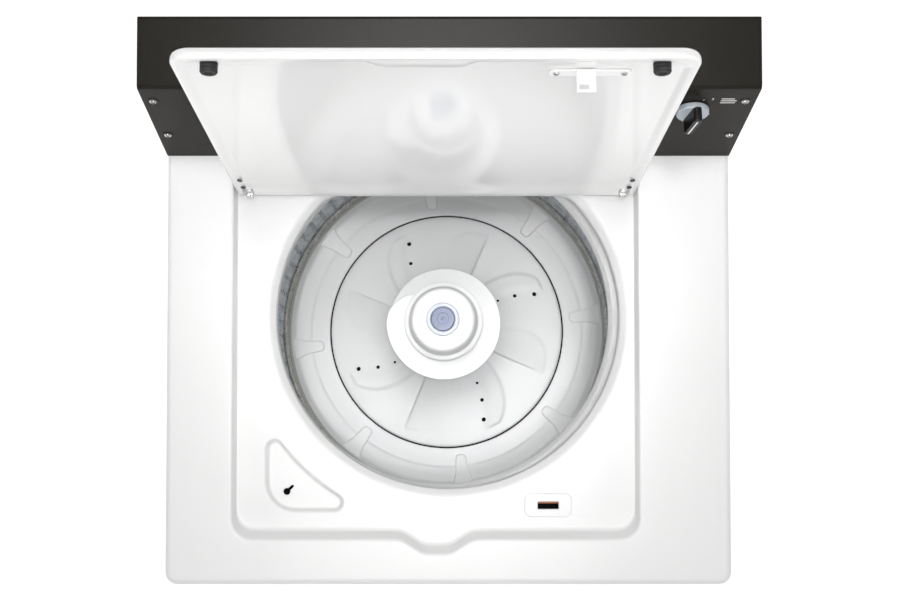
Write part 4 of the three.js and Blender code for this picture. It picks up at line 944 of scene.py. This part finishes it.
def flight():
    """The flight: it widens from nothing at its start and narrows again at its foot."""
    rings = []
    for i in range(FLIGHT_STEPS + 1):
        share = i / FLIGHT_STEPS
        travelled = 360 * FLIGHT_TURNS * share
        turn = math.radians(FLIGHT_START + travelled)
        begin = math.sin(math.pi / 2 * min(1, travelled / 52))
        finish = math.sin(math.pi / 2 * min(1, (360 * FLIGHT_TURNS - travelled) / 40))
        reach = 50 + (FLIGHT_R - 50) * min(begin, finish)
        z = FLIGHT_TOP - (FLIGHT_TOP - FLIGHT_FOOT) * share
        corners = [(47, 0, 0.5), (reach, 0.8, 1.2), (reach, 3.8, 1.2), (53, 5.2, 3), (47, 8.5, 0.5)]
        rings.append([(*polar(r, turn), z + rise) for r, rise in rounded(corners, 3)])
    return Form().loft(rings, start=True, end=True)


def agitator_cap():
    """A pale rim around a blue disc with two raised circles."""
    rim = turned([(15.4, 826, 0.4), (21.6, 826, 0.4), (21.6, 833.5, 2.2), (17, 835.4, 1),
                  (15.9, 834, 0.5)], 72)
    piece("cap_rim", rim, CAP_PALE, "auger_top", at=TUB)
    disc = turned([(0, 826, 0), (15.3, 826, 0.4), (15.3, 836.6, 1.2), (8.4, 836.8, 0.5), (8, 837.4, 0.4),
                   (6.8, 837.4, 0.3), (6.4, 836.8, 0.4), (3.4, 836.8, 0.4), (3, 837.5, 0.3),
                   (1.8, 837.5, 0.3), (1.4, 836.8, 0.3), (0, 836.8, 0)], 72, 3)
    piece("cap_disc", disc, CAP_BLUE, "auger_top", ["agitator_cap"], at=TUB)


def tub_ring():
    form = turned([(254, 853, 1), (251, 853, 1), (251, 821, 1), (280, 821, 0.6), (280, 816, 0.6),
                   (286, 816, 1), (286, 803, 0.8), (289, 803, 0.8), (289, 824, 3), (254, 824, 2)], 160, 5)
    piece("tub_hoop", form, WHITE, "tub_unit", ["tub_ring"], at=TUB)


# ---------- cabinet, feet, springs and the back ----------
SHELL_Z0, SHELL_Z1, SHELL_CORNER, SHELL_FLANGE, SHELL_SHEET = BASE_Z, high("cabinet_shell").z, 15, 26, 1.3
EAR_REACH, EAR_Z0, EAR_Z1, EAR_HOLE = 45, 826, 830, 7
SPRING_WIRE, SPRING_TURNS, SPRING_STEPS, SPRING_KEEP = 2.1, 9, 20, 0.8
STUD_R, THREAD_DEPTH, THREAD_PITCH = 6.5, 0.7, 2.0
NUT = ((8.6, 14.8), (9.8, 15.6), (9.8, 19.6), (8.6, 20.4))  # the lock nut's radius and height


def cabinet_path(inset):
    """The three-sided sheet seen from above, open at the back between its two flanges."""
    x0, x1, y0, y1 = LEFT + inset, RIGHT - inset, FRONT + inset, high("cabinet_shell").y - inset
    corners = [(LEFT + SHELL_FLANGE, y1, 0), (x0, y1, 1.5), (x0, y0, SHELL_CORNER), (x1, y0, SHELL_CORNER),
               (x1, y1, 1.5), (RIGHT - SHELL_FLANGE, y1, 0)]
    return rounded(corners, 10, closed=False)


def cabinet():
    """The wrapped sheet with a folded foot hem and a rolled top edge."""
    hem = ((14, 0), (1.4, 0), (0.4, 0.4), (0, 1.4), (0, 30))
    rolled = ((0, -30), (0, -1.2), (0.4, -0.3), (1.4, 0))
    profile = [(inset, SHELL_Z0 + rise) for inset, rise in hem]
    profile += [(inset, SHELL_Z1 + rise) for inset, rise in rolled]
    form = Form().wall(cabinet_path, profile, closed=False)
    shell = piece("cabinet_sheet", form, ENAMEL, "cabinet", ["cabinet_shell"], angle=50)
    thicken(shell, SHELL_SHEET)


def rod_plates():
    """The four corner plates that the hanging rods pass through."""
    plates = Form()
    for number in range(1, 5):
        rod = middle(f"suspension_rod_{number}")
        side, end = math.copysign(1, rod.x), math.copysign(1, rod.y)
        wall_x = side * (RIGHT - 1.6)
        wall_y = FRONT + 1.6 if end < 0 else high("cabinet_shell").y - 1.6
        outline = [(wall_x, rod.y - end * EAR_REACH), (wall_x, wall_y - end * SHELL_CORNER),
                   (wall_x - side * SHELL_CORNER, wall_y), (rod.x - side * 28, wall_y),
                   (rod.x - side * 18, rod.y - end * 20)]
        hole = circle(rod.x, rod.y, EAR_HOLE)
        for ring in (outline, hole):
            plates.loft([lifted(ring, z) for z in (EAR_Z0, EAR_Z1)])
        plates.fill(EAR_Z0, outline, hole)
        plates.fill(EAR_Z1, outline, hole)
    piece("rod_plates", plates, ZINC, "cabinet")


def thread(radius, z0, z1, depth, pitch):
    """The outer profile of a fine thread, as close ridges."""
    count = int((z1 - z0) / pitch)
    profile = []
    for k in range(count):
        z = z0 + k * pitch
        profile += [(radius - depth, z), (radius, z + pitch * 0.35), (radius, z + pitch * 0.65)]
    return profile + [(radius - depth, z0 + count * pitch)]


def feet():
    """Each foot: a rubber pad with a grooved sole, its collar, a threaded stud and a lock nut."""
    pad = turned([(0, 0.6, 0), (7, 0.6, 0.3), (8, 1.8, 0.3), (10, 1.8, 0.3), (11, 0, 0.4), (13.5, 0, 0.4),
                  (14.2, 1.6, 0.3), (16, 1.6, 0.3), (16.8, 0, 0.4), (19, 0, 1.2), (20.9, 7.6, 1.4),
                  (20.4, 9.4, 0.8), (15.4, 13, 1.6), (9.4, 13.2, 0.4), (9, 14.4, 0.4), (0, 14.4, 0)], 56, 3)
    stud = [(0.0, 13)] + thread(STUD_R, 13, 61, THREAD_DEPTH, THREAD_PITCH) + [(0.0, 61.6)]
    nut = Form().wall(lambda radius: circle(0, 0, radius, 6), NUT, start=True, end=True)
    for number in range(1, 5):
        node, body = f"foot_{number}", f"levelling_foot_{number}"
        place = at(middle(node).x, middle(node).y, 0)
        piece(f"foot_pad_{number}", pad, RUBBER, body, [node], at=place)
        piece(f"foot_stud_{number}", lathe(stud, 24, closed=False), ZINC, body, at=place, angle=60)
        piece(f"foot_nut_{number}", nut, ZINC, body, at=place)


def springs():
    """Coil springs under the tub's ears, their end turns closed."""
    for number in range(1, 5):
        node = f"suspension_spring_{number}"
        bottom, top = low(node), high(node)
        x, y, mean = (bottom.x + top.x) / 2, (bottom.y + top.y) / 2, (top.x - bottom.x) / 2 - SPRING_WIRE
        count, points = SPRING_TURNS * SPRING_STEPS, []
        for k in range(count + 1):
            share = k / count
            rise = 0.45 * share + 0.55 * (share - math.sin(2 * math.pi * share) / (2 * math.pi))
            turn = 2 * math.pi * k / SPRING_STEPS
            z = bottom.z + SPRING_WIRE + rise * (top.z - bottom.z - 2 * SPRING_WIRE)
            across, along = polar(mean, turn)
            points.append((x + across, y + along, z))
        form = tube(points, SPRING_WIRE, 10)
        coil = piece(f"coil_{number}", form, BRIGHT, "cabinet", [node], weighted=False)
        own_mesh(coil)


# The frame on the back sheet: X to the right as seen from behind, Y up, and Z out of the sheet.
BACK_FACE = at(0, BACK, 0) @ Matrix(((-1, 0, 0), (0, 0, 1), (0, 1, 0))).to_4x4()
FIELDS, FIELD_HALF, SIDE_RIBS = (-170, 0, 170), 60, (-290, 290)
LOUVRE_COLUMNS, LOUVRE_ROWS, LOUVRE_Z, LOUVRE_PITCH, LOUVRE_HALF = (-150, -50, 50, 150), 7, 120, 20, 34
BACK_SCREW_X, BACK_SCREW_HEIGHTS, CONSOLE_SCREWS = 334, (70, 330, 600, 866), (-330, -110, 110, 330)


def pressing(x0, x1, z0, z1, height, corner):
    """A soft-edged raised field on the back sheet."""
    outline_at = lambda inset: box_outline(x0, z0, x1, z1, corner, inset=inset, steps=6)
    slope = [(share * height, rise * height) for share, rise in ((0.6, 0.25), (1.4, 0.8), (2, 1))]
    return Form().wall(outline_at, [(-1, -0.3), (0, 0.05)] + slope, start=True, end=True)


def louvre(x, z, half):
    """A hood that is scooped down to the sheet at its top and at both ends."""
    rings = []
    for share in (-1, -0.96, -0.85, -0.6, 0, 0.6, 0.85, 0.96, 1):
        tall = 2.6 * math.sqrt(max(0, 1 - share**4)) + 0.15
        section = ((0, -0.2), (0, tall), (3, tall * 0.9), (7, tall * 0.35), (9, 0.1), (9, -0.2))
        rings.append([(x + share * half, z + up, out) for up, out in section])
    return Form().loft(rings, start=True, end=True)


def back():
    """Ribs, louvres, screws and the marked water inlets on the zinc-coated back sheet."""
    ribs, vents, vent_shades = Form(), Form(), Form()
    for x in SIDE_RIBS:
        ribs.merge(pressing(x - 9, x + 9, 90, 700, 2.4, 8.9))
    for x in FIELDS:
        ribs.merge(pressing(x - FIELD_HALF, x + FIELD_HALF, 300, 690, 2.2, 26))
    ribs.merge(pressing(-250, 250, 735, 752, 2.0, 8.4))
    piece("back_ribs", ribs, ZINC, "cabinet", at=BACK_FACE, angle=40)
    for x in LOUVRE_COLUMNS:
        for row in range(LOUVRE_ROWS):
            z, half = LOUVRE_Z + row * LOUVRE_PITCH, LOUVRE_HALF - 3
            vents.merge(louvre(x, z, LOUVRE_HALF))
            # Painted shade: a thin matt black strip under each hood stands in for the dark opening beneath
            # it.
            vent_shades.merge(block(x - half, x + half, z - 1.4, z - 0.1, -0.1, 0.5, 0.5, 0.1))
    piece("back_louvres", vents, ZINC, "cabinet", at=BACK_FACE, angle=40)
    piece("louvre_mouth_shades", vent_shades, SHADE_AND_MATT_BLACK, "cabinet", at=BACK_FACE)
    spots = [(side * BACK_SCREW_X, z) for side in (-1, 1) for z in BACK_SCREW_HEIGHTS]
    for number, (x, z) in enumerate(spots, 1):
        screw(f"back_screw_{number}", BACK_FACE @ at(x, z, 0), "cabinet", 4.4, 2.4, ZINC)
    for number, x in enumerate(CONSOLE_SCREWS, 1):
        screw(f"console_back_screw_{number}", BACK_FACE @ at(x, DECK_Z + 8, 0), "cabinet", 4.0, 2.2, ZINC)
    water_inlets()
    plate = block(-60, 20, 60, 100, 0.05, 0.45, 4, 0.15)
    piece("rating_plate", plate, BRIGHT, "cabinet", at=BACK_FACE @ at(-210, 0, 0))


def water_inlets():
    """A coloured collar and a threaded sleeve around each inlet."""
    valve = middle("water_valve")
    ridges = [(13.25, 11)] + thread(14.2, 12, 29, 0.8, 2.2) + [(13.25, 29.4), (13.25, 11)]
    for label, offset, finish in (("hot", -30, HOT), ("cold", 30, COLD)):
        place = BACK_FACE @ at(-valve.x - offset, valve.z, 0)
        collar = turned([(15.7, 0.05, 0.1), (20, 0.05, 0.3), (20, 1.6, 0.5), (15.7, 1.6, 0.5)], 56)
        piece(f"{label}_collar", collar, finish, "cabinet", at=place)
        sleeve = lathe(ridges, 48, closed=False)
        piece(f"{label}_thread", sleeve, ZINC, "cabinet", at=place, angle=60)


def printed_dashes(name, x, rise, rows):
    """Short printed dashes beside a knob, standing in for its list of settings."""
    form = Form()
    for row, long in enumerate(rows):
        form.merge(block(0, long, -row * 4.6 - 0.8, -row * 4.6 + 0.8, 0.06, 0.2, 0.2, 0.05))
    piece(name, form, PRINT, "cabinet", at=on_face(x, rise))


# ---------- CAD nodes that keep their shape ----------
KEPT = {
    # The bleach chute is white plastic, made matt black here as painted shade for the dark drop hole above
    # it.
    "rear_panel": ZINC, "base_brace_front": ZINC, "base_brace_rear": ZINC, "bleach_chute": SHADE_AND_MATT_BLACK,
    "lid_lock_housing": SHADE_AND_MATT_BLACK, "lock_bolt": ZINC, "water_valve": GREY, "fill_nozzle": WHITE,
    "fill_hose": RUBBER, "drain_outlet": BLACK, "cord_gland": BLACK, "console_end_left": BLACK,
    "console_end_right": BLACK, "console_back": ZINC, "control_board": BOARD, "hinge_left": ZINC,
    "hinge_right": ZINC, "outer_tub": TUB_WHITE, "gearcase": CAST, "drive_motor": MOTOR_PAINT,
    "drain_pump": GREY, "drive_belt": RUBBER, "drain_hose": RUBBER, "basket_hub": CAST,
    "drive_shaft": SHAFT, "drive_pulley": CAST, "motor_pulley": ZINC, "pump_impeller": BLACK,
}


def kept_nodes():
    for number in range(1, 5):
        KEPT[f"suspension_rod_{number}"] = ZINC
    for node, material in KEPT.items():
        shown = frame["nodes"][node]
        shown.data.materials.clear()
        shown.data.materials.append(material)
        soften(shown, 40)


# ---------- camera, light and floor ----------
LENS, SENSOR, CLIP_END, SHIFT = 51.75, 36, 50, (0.0133, 0.07)
CAMERA_PLACE, CAMERA_TILT = (-12.7, -123.4, 2514.5), 1.98
SKY, FLOOR_GLOW, FLOOR_HALF = 0.39, 0.5, 9
# Name, place and target in metres, width and depth, watts, and the spread of each soft light.
LIGHTS = (
    ("overhead", (0, 0.2, 3.9), (0, 0.2, 0.9), (1.1, 2.3), 50, 180),
    ("lid light", (0, -2.7, 2.3), (0, 0.18, 1.14), (1.2, 0.3), 1.05, 18),
    ("basket light", (0.03, -0.16, 4.4), (0, -0.02, 0.6), (0.3, 0.3), 0.17, 9),
    ("console light", (0, 1.05, 3.9), (0, 0.27, 1.083), (0.9, 0.3), 0.16, 9),
)


def camera():
    lens = bpy.data.cameras.new("camera")
    lens.lens, lens.sensor_width, lens.clip_end = LENS, SENSOR, CLIP_END
    lens.shift_x, lens.shift_y = SHIFT
    view = placed("camera", lens)
    view.location = Vector(CAMERA_PLACE) * MM
    view.rotation_euler = (math.radians(CAMERA_TILT), 0, 0)
    bpy.context.scene.camera = view


def area(name, place, target, size, power, spread):
    lamp = bpy.data.lights.new(name, "AREA")
    lamp.shape, lamp.size, lamp.size_y, lamp.energy = "RECTANGLE", size[0], size[1], power
    lamp.spread = math.radians(spread)
    holder = placed(name, lamp)
    holder.location = place
    holder.rotation_euler = (Vector(target) - Vector(place)).to_track_quat("-Z", "Y").to_euler()


def studio():
    """A white floor that glows a little, the soft lights and an even white sky."""
    floor = bpy.data.meshes.new("floor")
    corners = [(x * FLOOR_HALF, y * FLOOR_HALF, 0) for x, y in ((-1, -1), (1, -1), (1, 1), (-1, 1))]
    floor.from_pydata(corners, [], [(0, 1, 2, 3)])
    made, _, shader = material_of("studio floor")
    shader.inputs["Base Color"].default_value = (0.9, 0.9, 0.9, 1)
    shader.inputs["Roughness"].default_value = 0.7
    shader.inputs["Emission Color"].default_value = (1, 1, 1, 1)
    shader.inputs["Emission Strength"].default_value = FLOOR_GLOW
    floor.materials.append(made)
    ground = placed("floor", floor)
    for light in LIGHTS:
        area(*light)
    world = bpy.data.worlds.new("studio")
    world.use_nodes = True
    world.node_tree.nodes["Background"].inputs["Color"].default_value = (1, 1, 1, 1)
    world.node_tree.nodes["Background"].inputs["Strength"].default_value = SKY
    bpy.context.scene.world = world
    bpy.context.scene.view_settings.view_transform = "Standard"


camera()
studio()
kept_nodes()
top_panel()
lock_pad()
lid_shell()
lid_fittings()
console_sheet()
console_fittings()
for name, radius, turn in KNOBS:
    face_knob(name, radius, turn)
for marks in DIAL_MARKS:
    dial_marks(*marks)
for dashes in DASHES:
    printed_dashes(*dashes)
start_button()
cabinet()
rod_plates()
feet()
springs()
back()
perforated_wall()
basket_floor()
balance_ring()
agitator()
auger()
agitator_cap()
tub_ring()
